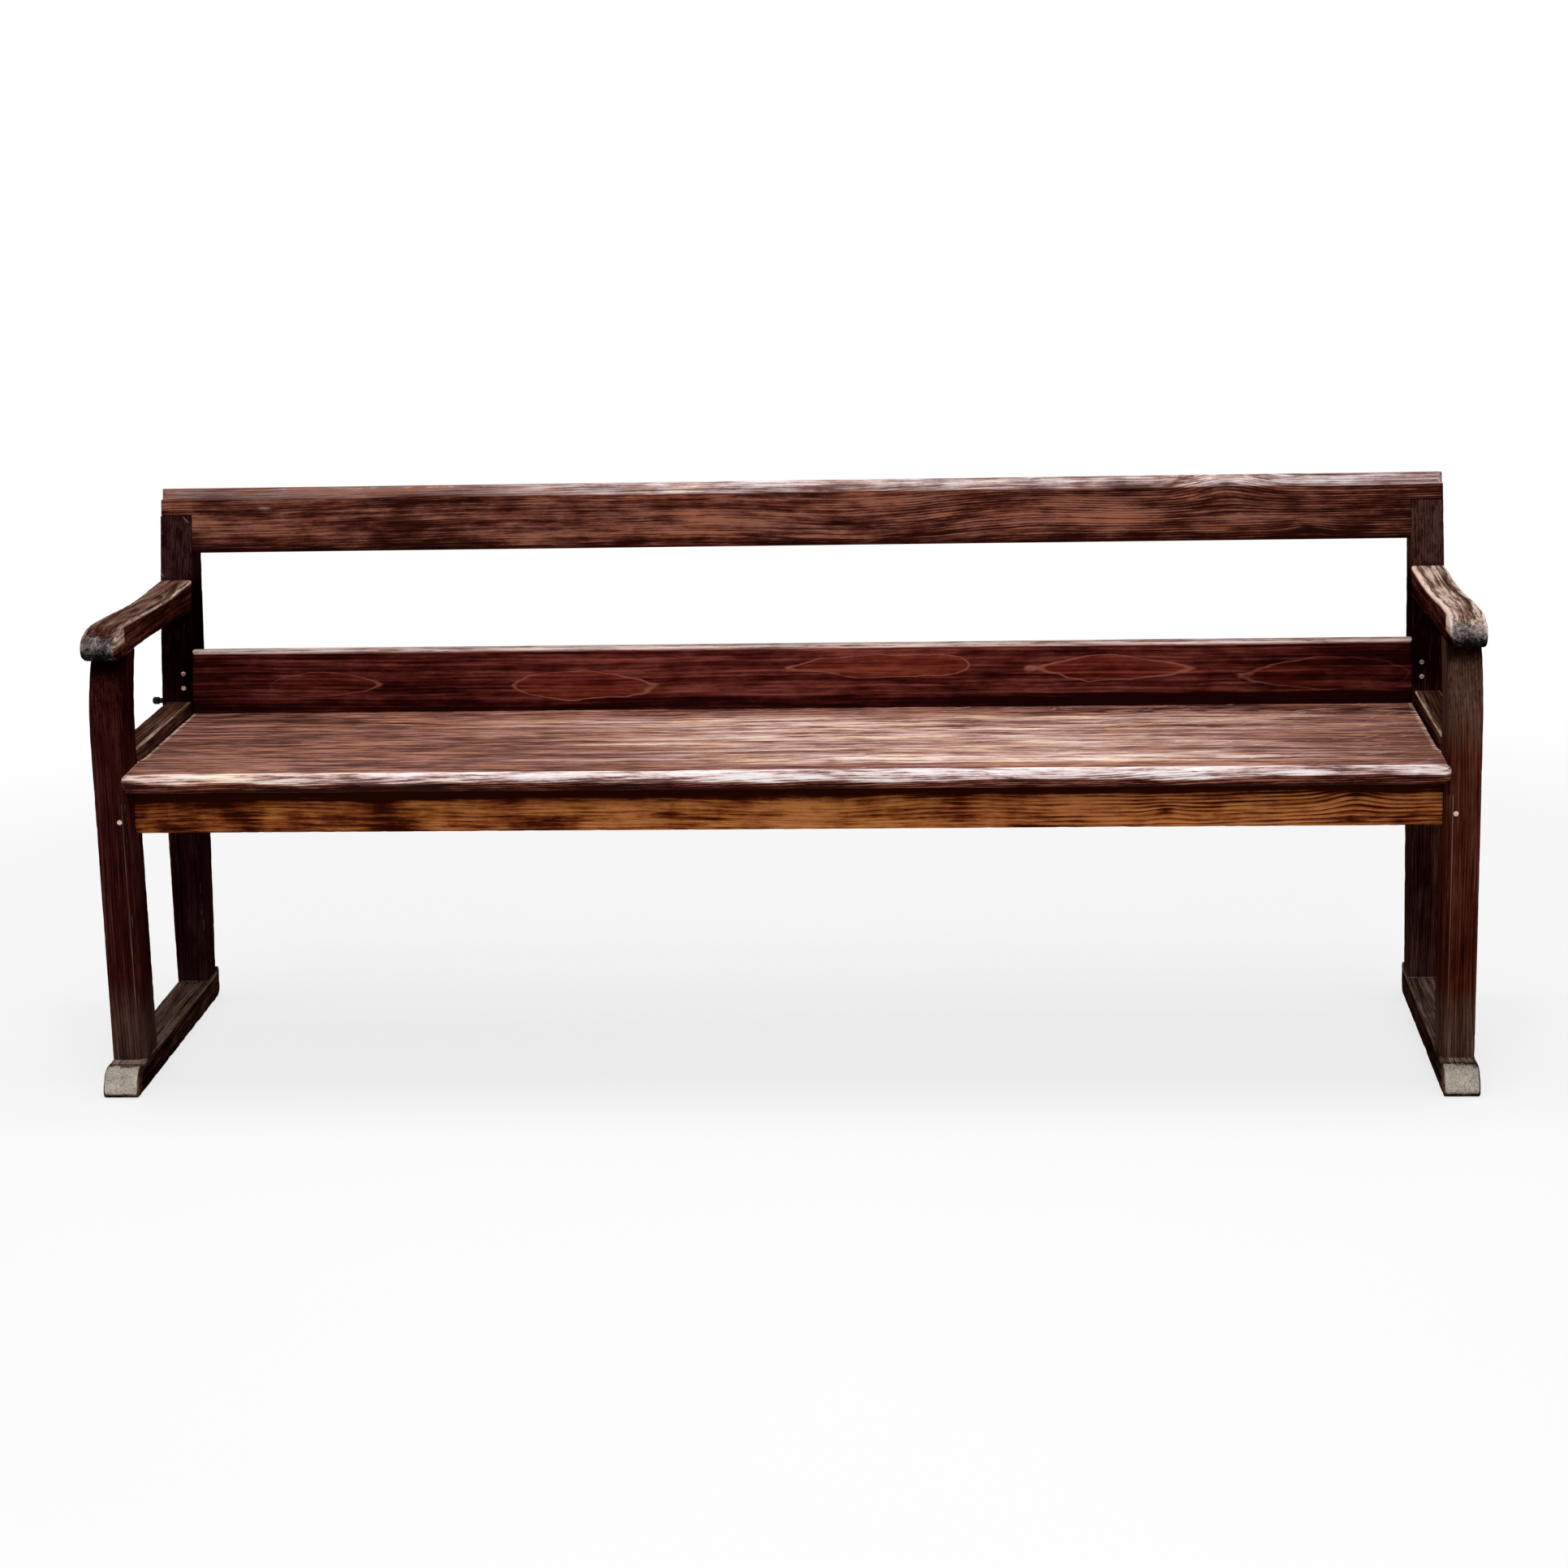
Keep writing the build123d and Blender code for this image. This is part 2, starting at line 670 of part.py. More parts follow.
# Low back board, leaning back behind the seat
with BuildPart() as lower_back_board:
    board_top = seat_height + board_stand
    board_depth = board_thick / cos(radians(board_lean))
    with BuildSketch(side):
        with BuildLine():
            Polyline(
                (board_face(seat_bottom), seat_bottom),
                (board_face(seat_bottom) + board_depth, seat_bottom),
                (board_face(board_top) + board_depth, board_top),
                (board_face(board_top), board_top),
                close=True,
            )
        make_face()
        fillet(vertices().group_by(Axis.Y)[-1], board_round)
    extrude(amount=inner_x, both=True)
    for limits in both_ends(board_tenon):
        block(limits)
    for face in mirrored_places(back_peg_faces):
        peg_hole(face, peg_length)
    for face in mirrored_places([bolt_face]):
        bolt_hole(face, post_thick + bolt_depth)
    for limits in both_ends(nut_block):
        mortise(limits._replace(y=(limits.y[0], limits.y[1] + board_thick)))
save(lower_back_board.part, "lower_back_board")

# Top rail: its lower part fits between the posts, its upper part runs over them
with BuildPart() as top_rail:
    with BuildSketch(rail_plane):
        Rectangle(rail_thick, rail_width, align=(Align.MIN, Align.MIN))
        fillet(vertices().group_by(Axis.Y)[0], eased)
        fillet(vertices().group_by(Axis.Y)[-1].sort_by(Axis.X)[0], rail_front_round)
        fillet(vertices().group_by(Axis.Y)[-1].sort_by(Axis.X)[-1], rail_back_round)
    extrude(amount=half_length, both=True)
    for hand in (1, -1):
        with BuildSketch(rail_plane.offset(hand * (inner_x - fit_gap))):
            with Locations((-overrun, -overrun)):
                Rectangle(
                    rail_thick + 2 * overrun,
                    rail_width - rail_lap + overrun,
                    align=(Align.MIN, Align.MIN),
                )
        extrude(amount=hand * (post_thick + overrun), mode=Mode.SUBTRACT)
    for end in (top_rail.faces().sort_by(Axis.X)[0], top_rail.faces().sort_by(Axis.X)[-1]):
        chamfer(end.edges(), rail_end_bevel)
    for face in mirrored_places(rail_peg_faces):
        peg_hole(face, rail_peg_length)
save(top_rail.part, "top_rail")

# Whittled pegs: through the tenons, up into the seat, into the side rails and the top rail
for name, faces, length in (
    ("apron_pegs", [apron_peg_face], peg_length),
    ("back_pegs", back_peg_faces, peg_length),
    ("foot_pegs", foot_peg_faces, foot_peg_length),
    ("seat_pegs", seat_peg_faces, seat_peg_length),
    ("bearer_pegs", bearer_peg_faces, bearer_peg_length),
    ("cleat_pegs", cleat_peg_faces, cleat_peg_length),
    ("top_rail_pegs", rail_peg_faces, rail_peg_length),
):
    with BuildPart() as pegs:
        for face in mirrored_places(faces):
            peg(face, length)
    save(pegs.part, name)

# Iron bolt through the rear post into the end of the back board, and its square nut
with BuildPart() as back_bolt:
    with Locations(bolt_face.offset(bolt_stand)):
        Cylinder(bolt_knob_radius, 2 * bolt_knob_radius)
        chamfer(back_bolt.edges().filter_by(GeomType.CIRCLE), bolt_knob_round)
        Cylinder(
            bolt_radius,
            bolt_stand + post_thick + bolt_depth,
            align=(Align.CENTER, Align.CENTER, Align.MAX),
        )
save_pair(back_bolt.part, "back_bolt")

with BuildPart() as bolt_nut:
    block(nut_block)
    bolt_hole(bolt_face, post_thick + bolt_depth)
save_pair(bolt_nut.part, "bolt_nut")
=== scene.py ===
"""Long fixed bench on sledge feet, dressed in worn, dark-stained pine.

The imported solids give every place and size. Each timber that shows is made again here as a
finely stepped blank with worn arrises, bent to its place and given its own run of growth rings.
Lengths are millimetres until a mesh is written; the mesh itself is in metres.
"""

import itertools
import logging
from collections.abc import Callable
from dataclasses import dataclass, field, replace
from enum import Enum
from math import cos, radians, sin, tan

import bpy
import numpy as np
from mathutils import Matrix, Vector


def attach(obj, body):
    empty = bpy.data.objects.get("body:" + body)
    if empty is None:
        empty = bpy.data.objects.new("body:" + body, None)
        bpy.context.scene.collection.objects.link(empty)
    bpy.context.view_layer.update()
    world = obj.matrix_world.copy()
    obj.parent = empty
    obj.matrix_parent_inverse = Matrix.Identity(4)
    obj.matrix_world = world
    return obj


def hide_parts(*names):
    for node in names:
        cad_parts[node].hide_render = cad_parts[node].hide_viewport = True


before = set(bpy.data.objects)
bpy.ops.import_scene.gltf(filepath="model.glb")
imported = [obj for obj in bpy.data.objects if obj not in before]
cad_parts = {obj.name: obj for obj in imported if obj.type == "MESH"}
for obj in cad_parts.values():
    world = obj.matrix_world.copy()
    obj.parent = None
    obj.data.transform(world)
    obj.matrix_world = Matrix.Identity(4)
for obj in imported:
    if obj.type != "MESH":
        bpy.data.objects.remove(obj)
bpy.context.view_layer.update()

log = logging.getLogger("bench")

MM = 0.001
JUMP = 0.05  # mm on either side of a sudden step in a timber's outline
NEAR_END = (0.5, 1.1, 1.9, 3, 4.5, 6.8, 10)  # mm from an end, where a blank is cut finely
HASH_AXES = (73856093, 19349663, 83492791)
HASH_SEED = 7368787
HASH_SCRAMBLE = 1274126177
Array = np.ndarray
Pair = tuple[float, float]
Triple = tuple[float, float, float]  # three sizes, a place or a colour
Material = bpy.types.Material


class Hand(Enum):
    """End of the bench, as seen by someone who faces it."""

    LEFT = -1
    RIGHT = 1

    @property
    def word(self) -> str:
        """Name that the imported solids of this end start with."""
        return self.name.lower()


class Grain(Enum):
    """World axis that a timber's fibres follow."""

    LENGTH = 0
    DEPTH = 1
    HEIGHT = 2


# Numbers on arrays


def smooth(low: float, high: float, value: Array) -> Array:
    """Rise from 0 at low to 1 at high along t^2 (3 - 2t); it falls where low is above high."""
    t = np.clip((value - low) / (high - low), 0, 1)
    return t * t * (3 - 2 * t)


def hump(value: Array, centre: float, reach: float) -> Array:
    """Bell curve exp(-((value - centre) / reach)^2)."""
    return np.exp(-(((value - centre) / reach) ** 2))


def murmur(points: Array, seed: int) -> Array:
    """Smooth random field: hashed values at whole-number corners, blended by t^2 (3 - 2t).

    Args:
        points: Places, one row of three numbers each.
        seed: Picks another field of the same kind.

    Returns:
        One value between 0 and 1 for each place.
    """
    cell = np.floor(points).astype(np.int64)
    part = points - cell
    part = part * part * (3 - 2 * part)
    total = np.zeros(len(points))
    for corner in itertools.product((0, 1), repeat=3):
        key = (cell + corner) @ np.array(HASH_AXES) + seed * HASH_SEED
        key = (key ^ (key >> 13)) * HASH_SCRAMBLE & 0xFFFFFFFF
        value = ((key ^ (key >> 16)) & 0xFFFF) / 65535
        total += np.prod(np.where(corner, part, 1 - part), axis=1) * value
    return total


def layered(points: Array, seed: int, layers: int = 3) -> Array:
    """Sum of murmur fields, each half as strong and twice as fine, brought back to 0 to 1."""
    strengths = [0.5**layer for layer in range(layers)]
    return sum(s * murmur(points * 2**n, seed + n) for n, s in enumerate(strengths)) / sum(strengths)


def mottle(seed: int, *parts: Array | float, layers: int = 3) -> Array:
    """Layered field, less its middle, at three coordinates that are in units of its patches."""
    return layered(np.stack(np.broadcast_arrays(*parts), axis=-1), seed, layers) - 0.5


def stations(length: float, step: float, extra: tuple[float, ...] = ()) -> Array:
    """Places along a side: close together near both ends, even between, and at the extra ones.

    Args:
        length: Length of the side.
        step: Spacing between the ends.
        extra: Further places, such as the two sides of a shoulder.

    Returns:
        The places from 0 to the length, in order.
    """
    near = np.array([t for t in NEAR_END if t < 0.42 * length])
    count = max(2, round((length - 2 * near[-1]) / step) + 1)
    inner = np.linspace(near[-1], length - near[-1], count)
    return np.unique(np.round(np.concatenate([[0, length], near, inner, length - near, extra]), 3))


# Timber surfaces


@dataclass
class Shape:
    """Closed surface of a timber: its flat places in the blank, its places on the bench, its faces."""

    flat: Array
    points: Array
    quads: Array
    marks: dict[str, Array] = field(default_factory=dict)

    def note(self, **marks: Array) -> None:
        """Keep values for the finish to read, one for each place."""
        self.marks.update(marks)

    def normals(self) -> Array:
        """Mean normal at each vertex, from the cross product of each face's diagonals.

        Returns:
            One unit vector for each vertex.
        """
        corners = self.points[self.quads]
        across = np.cross(corners[:, 2] - corners[:, 0], corners[:, 3] - corners[:, 1])
        total = np.zeros_like(self.points)
        for turn, axis in itertools.product(range(4), range(3)):
            total[:, axis] += np.bincount(self.quads[:, turn], across[:, axis], len(total))
        return total / np.maximum(np.linalg.norm(total, axis=1, keepdims=True), 1e-12)

    def face_outwards(self) -> None:
        """Turn every face round if the signed volume, a sum of tetrahedra, is negative."""
        a, b, c, d = (self.points[self.quads[:, turn]] for turn in range(4))
        if np.sum(a * (np.cross(b, c) + np.cross(c, d))) < 0:
            self.quads = self.quads[:, ::-1]

    def weather(self, wave: float, nick: float, seed: int) -> "Shape":
        """Sink the surface a little below its true faces, and more along its arrises.

        Depth = wave * slow field + nick * arris * (part of a quick field above one half).

        Args:
            wave: Depth of the hand-planed unevenness.
            nick: Depth of the knocks along the arrises.
            seed: Picks the fields.

        Returns:
            The same shape.
        """
        self.face_outwards()
        slow = layered(self.points / np.array([160, 90, 90]), seed)
        knocks = np.clip(layered(self.points / 11, seed + 40, 2) - 0.5, 0, None) * 2
        depth = wave * slow + nick * self.marks["arris"] * knocks
        self.points = self.points - self.normals() * depth[:, None]
        return self


@dataclass(frozen=True)
class Blank:
    """Squared timber. Side a runs along the fibres, b through the thickness, c across."""

    size: Triple
    steps: Triple
    extra: tuple[tuple[float, ...], tuple[float, ...], tuple[float, ...]] = ((), (), ())
    corners: tuple[tuple[bool, bool, float, float], ...] = ()  # far end of a, of c, radii on both
    worn_ends: bool = False
    arris_reach: float = 3.4
    unworn: float = 1e3  # added distance that keeps a side out of the arrises

    def cut(self, radius: float | Callable[[Array], Array]) -> Shape:
        """Lay a grid on the six faces of the blank and ease its arrises.

        A point of a grid has whole numbers i, j, k for its stations; the number
        (i * count_b + j) * count_c + k is the same on two faces that share it, so they join there.

        Args:
            radius: Radius of the arrises between the broad faces and the outline, or its formula.

        Returns:
            The shape, whose points are still in the blank's own a, b, c.
        """
        marks = [stations(*side) for side in zip(self.size, self.steps, self.extra)]
        counts = [len(side) for side in marks]
        faces = []
        for axis in range(3):
            first, second = (axis + 1) % 3, (axis + 2) % 3
            grid = np.meshgrid(np.arange(counts[first]), np.arange(counts[second]), indexing="ij")
            for end in (0, counts[axis] - 1):
                index = [0, 0, 0]
                index[axis], index[first], index[second] = end, grid[0], grid[1]
                number = (index[0] * counts[1] + index[1]) * counts[2] + index[2]
                ring = (number[:-1, :-1], number[1:, :-1], number[1:, 1:], number[:-1, 1:])
                quads = np.stack(ring, axis=-1).reshape(-1, 4)
                faces.append(quads if end else quads[:, ::-1])
        used, quads = np.unique(np.concatenate(faces), return_inverse=True)
        i, rest = np.divmod(used, counts[1] * counts[2])
        j, k = np.divmod(rest, counts[2])
        flat = np.stack([marks[0][i], marks[1][j], marks[2][k]], axis=-1)
        radii = radius(flat) if callable(radius) else np.full(len(flat), float(radius))
        shape = Shape(flat, self.round_off(flat, radii), quads.reshape(-1, 4))
        shape.note(arris=self.arris(flat))
        return shape

    def round_off(self, flat: Array, radius: Array) -> Array:
        """Turn square arrises and corners into round ones.

        In a zone as wide as the radius, the two distances from the zone's inner limit are scaled
        by max / hypot, which carries a square corner onto a quarter circle.

        Args:
            flat: Places on the squared blank.
            radius: Radius of the long arrises at each place.

        Returns:
            The eased places.
        """
        long, thick, wide = self.size
        a, b, c = flat.T
        inset = np.minimum(np.minimum(a, long - a), np.minimum(c, wide - c))
        sunk = np.minimum(b, thick - b)
        from_side = np.clip(radius - inset, 0, None)
        from_face = np.clip(radius - sunk, 0, None)
        share = np.maximum(from_side, from_face) / np.maximum(np.hypot(from_side, from_face), 1e-9)
        both = (from_side > 0) & (from_face > 0)
        inset = np.where(both, radius - from_side * share, inset)
        sunk = np.where(both, radius - from_face * share, sunk)
        a = np.clip(a, inset, long - inset)
        c = np.clip(c, inset, wide - inset)
        b = np.where(b > thick / 2, thick - sunk, sunk)
        for far_a, far_c, reach_a, reach_c in self.corners:
            u = 1 - (long - a if far_a else a) / reach_a
            v = 1 - (wide - c if far_c else c) / reach_c
            inside = (u > 0) & (v > 0)
            share = np.maximum(u, v) / np.maximum(np.hypot(u, v), 1e-9)
            new_a, new_c = reach_a * (1 - u * share), reach_c * (1 - v * share)
            a = np.where(inside, long - new_a if far_a else new_a, a)
            c = np.where(inside, wide - new_c if far_c else new_c, c)
        return np.stack([a, b, c], axis=-1)

    def arris(self, flat: Array) -> Array:
        """Nearness of an arris: exp(-(second smallest distance to a side / reach)^2).

        Args:
            flat: Places on the squared blank.

        Returns:
            1 on an arris, falling to 0 away from it.
        """
        sides = np.minimum(flat, np.array(self.size) - flat)
        if not self.worn_ends:
            sides[:, 0] += self.unworn
        return hump(np.sort(sides, axis=1)[:, 1], 0, self.arris_reach)


@dataclass(frozen=True)
class Swirl:
    """Place where the rings rise towards or sink from the surface, as at a knot or an island."""

    a: float
    c: float
    reach_a: float
    reach_c: float
    rise: float  # mm

    def lift(self, a: Array, c: Array) -> Array:
        """Bell of the given rise over an ellipse."""
        return self.rise * hump(a, self.a, self.reach_a) * hump(c, self.c, self.reach_c)


def spots(x: Array, z: Array, *places: tuple[float, float, float, float, float]) -> Array:
    """Sum of bells over ellipses, each given by its middle, its two reaches and its height."""
    return sum(Swirl(*place).lift(x, z) for place in places)


@dataclass(frozen=True)
class Log:
    """The tree that a timber was sawn from, as rings round a pith that wanders along it."""

    spacing: float  # mm from ring to ring
    pith_b: float
    pith_c: float
    wander: float = 5
    stretch: float = 420  # length of the pith's wandering
    slope: float = 0  # run-out of the grain, mm across per mm along
    ripple: float = 0  # mm
    ripple_reach: float = 90
    seed: int = 1
    swirls: tuple[Swirl, ...] = ()

    def mark(self, shape: Shape, flat: Array | None = None) -> None:
        """Note at each place its ring number and how far the fibres run off their straight line.

        Drift = swirls + ripples - wandering - run-out; ring number = distance from the pith, with
        the drift added across, over the spacing. The drift is kept in metres.

        Args:
            shape: What is marked.
            flat: Places in the timber, where they differ from those in the blank.
        """
        a, b, c = (shape.flat if flat is None else flat).T
        line = a / self.stretch
        wander_c, wander_b = (self.wander * mottle(self.seed + n, line, 0, 0) * 4 for n in (0, 9))
        ripple = self.ripple * mottle(self.seed + 17, a / self.ripple_reach, b / 40, c / 40, layers=2) * 4
        drift = sum(swirl.lift(a, c) for swirl in self.swirls) + ripple - wander_c - self.slope * a
        reach = np.hypot(c - self.pith_c + drift, b - self.pith_b - wander_b)
        shape.note(ring=reach / self.spacing, drift=drift * MM)


# Shader writing


class Wire:
    """Output of a shader node whose sums and products add their own Math nodes."""

    def __init__(self, graph: "Graph", socket: bpy.types.NodeSocket) -> None:
        """Keep the socket and the graph that it belongs to."""
        self.graph = graph
        self.socket = socket

    def __add__(self, other: "Value") -> "Wire":
        """Sum."""
        return self.graph.math("ADD", self, other)

    def __sub__(self, other: "Value") -> "Wire":
        """Difference."""
        return self.graph.math("SUBTRACT", self, other)

    def __mul__(self, other: "Value") -> "Wire":
        """Product."""
        return self.graph.math("MULTIPLY", self, other)

    def __rsub__(self, other: float) -> "Wire":
        """Difference from a number."""
        return self.graph.math("SUBTRACT", other, self)

    __radd__ = __add__
    __rmul__ = __mul__


Value = Wire | float


@dataclass(frozen=True)
class Tones:
    """One state of the wood: its dark lines, its middle and its light fibres."""

    dark: Triple
    middle: Triple
    light: Triple

    def stops(self) -> list[tuple[float, Triple]]:
        """Places and colours of a ramp over the tone.

        Returns:
            Its stops; the first and last go past the dark and the light.
        """
        deepest = tuple(0.4 * part for part in self.dark)
        palest = tuple(min(1.3 * part, 0.93) for part in self.light)
        return [(0, deepest), (0.22, self.dark), (0.5, self.middle), (0.78, self.light), (1, palest)]


def tones(*parts: float) -> Tones:
    """Tones from the red, green and blue of dark, middle and light, in thousandths."""
    return Tones(*(tuple(part / 1000 for part in parts[at : at + 3]) for at in (0, 3, 6)))


class Graph:
    """Node tree of one material or world, written from code."""

    def __init__(self, owner: Material | bpy.types.World) -> None:
        """Empty the owner's tree.

        Args:
            owner: Material or world to write.
        """
        owner.use_nodes = True
        self.tree = owner.node_tree
        self.tree.nodes.clear()

    def add(
        self, kind: str, settings: dict | None = None, sockets: dict | None = None, out: int | str = 0
    ) -> Wire:
        """Add a node: its settings first, then the values or links of its sockets.

        Args:
            kind: Node type.
            settings: Its properties; "stops" holds the places and colours of a ramp.
            sockets: Values or wires by the input's name or number.
            out: Name or number of the output to hand back.

        Returns:
            The output; a node with none hands back its first input.
        """
        node = self.tree.nodes.new(kind)
        for name, value in (settings or {}).items():
            if name == "stops":
                ramp = node.color_ramp.elements
                ramp.remove(ramp[1])
                ramp[0].position, ramp[0].color = value[0][0], (*value[0][1], 1)
                for place, colour in value[1:]:
                    ramp.new(place).color = (*colour, 1)
            else:
                setattr(node, name, value)
        for name, value in (sockets or {}).items():
            if isinstance(value, Wire):
                self.tree.links.new(value.socket, node.inputs[name])
            elif isinstance(value, tuple) and len(node.inputs[name].default_value) == 4:
                node.inputs[name].default_value = (*value, 1)
            else:
                node.inputs[name].default_value = value
        return Wire(self, node.outputs[out] if len(node.outputs) else node.inputs[0])

    def math(self, operation: str, *terms: Value) -> Wire:
        """Math node of the given operation."""
        return self.add("ShaderNodeMath", {"operation": operation}, dict(enumerate(terms)))

    def rise(self, value: Value, low: float, high: float) -> Wire:
        """Smooth step from 0 at low to 1 at high; it falls where low is above high."""
        ends = {1: low, 2: high} if low <= high else {1: high, 2: low, 3: 1, 4: 0}
        return self.add("ShaderNodeMapRange", {"interpolation_type": "SMOOTHSTEP"}, {0: value, **ends})

    def blend(self, share: Value, first: Wire | Triple, second: Wire | Triple, kind: str = "MIX") -> Wire:
        """Mix of two colours: the first at share 0, the second at 1."""
        settings = {"data_type": "RGBA", "blend_type": kind, "clamp_factor": True}
        return self.add("ShaderNodeMix", settings, {0: share, 6: first, 7: second}, out=2)

    def shade(self, tone: Wire, colours: Tones) -> Wire:
        """Colour of a tone between 0, dark, and 1, light."""
        return self.add("ShaderNodeValToRGB", {"stops": colours.stops()}, {0: tone})

    def place(self) -> Wire:
        """Object coordinates, which are the bench's own, in metres."""
        return self.add("ShaderNodeTexCoord", out="Object")

    def mark(self, name: str) -> Wire:
        """Value that the mesh carries under this name."""
        return self.add("ShaderNodeAttribute", {"attribute_name": name}, out="Fac")

    def part(self, vector: Wire, axis: int) -> Wire:
        """One number of a vector: 0 for X, 1 for Y, 2 for Z."""
        return self.add("ShaderNodeSeparateXYZ", {}, {0: vector}, out=axis)

    def along(self, where: Wire, grain: Grain, coarse: float, fine: float, shift: float) -> Wire:
        """Scale places to few cycles a metre along the fibres and many across them.

        Args:
            where: Places in metres.
            grain: Axis of the fibres.
            coarse: Cycles a metre along it.
            fine: Cycles a metre across it.
            shift: Moves the pattern, in cycles.

        Returns:
            The scaled places.
        """
        scale = Vector([coarse if axis is grain else fine for axis in Grain])
        sockets = {"Vector": where, "Scale": scale, "Location": Vector((shift,) * 3)}
        return self.add("ShaderNodeMapping", {}, sockets)

    def noise(self, where: Wire, detail: float = 3, roughness: float = 0.55) -> Wire:
        """Noise between about 0.2 and 0.8, one cycle to a unit."""
        sockets = {"Vector": where, "Scale": 1, "Detail": detail, "Roughness": roughness}
        return self.add("ShaderNodeTexNoise", {}, sockets)

    def surface(self, colour: Wire, rough: Value, gloss: float, **sockets: Value) -> Wire:
        """Shader of a plain surface with the given colour, roughness and gloss."""
        named = {"Base Color": colour, "Roughness": rough, "Specular IOR Level": gloss}
        return self.add("ShaderNodeBsdfPrincipled", {}, {**named, **sockets})

    def bump(self, strength: float, distance: float, height: Wire) -> Wire:
        """Normal of a surface raised by a height between 0 and 1 times the distance in metres."""
        return self.add("ShaderNodeBump", {}, {"Strength": strength, "Distance": distance, "Height": height})


# Finishes


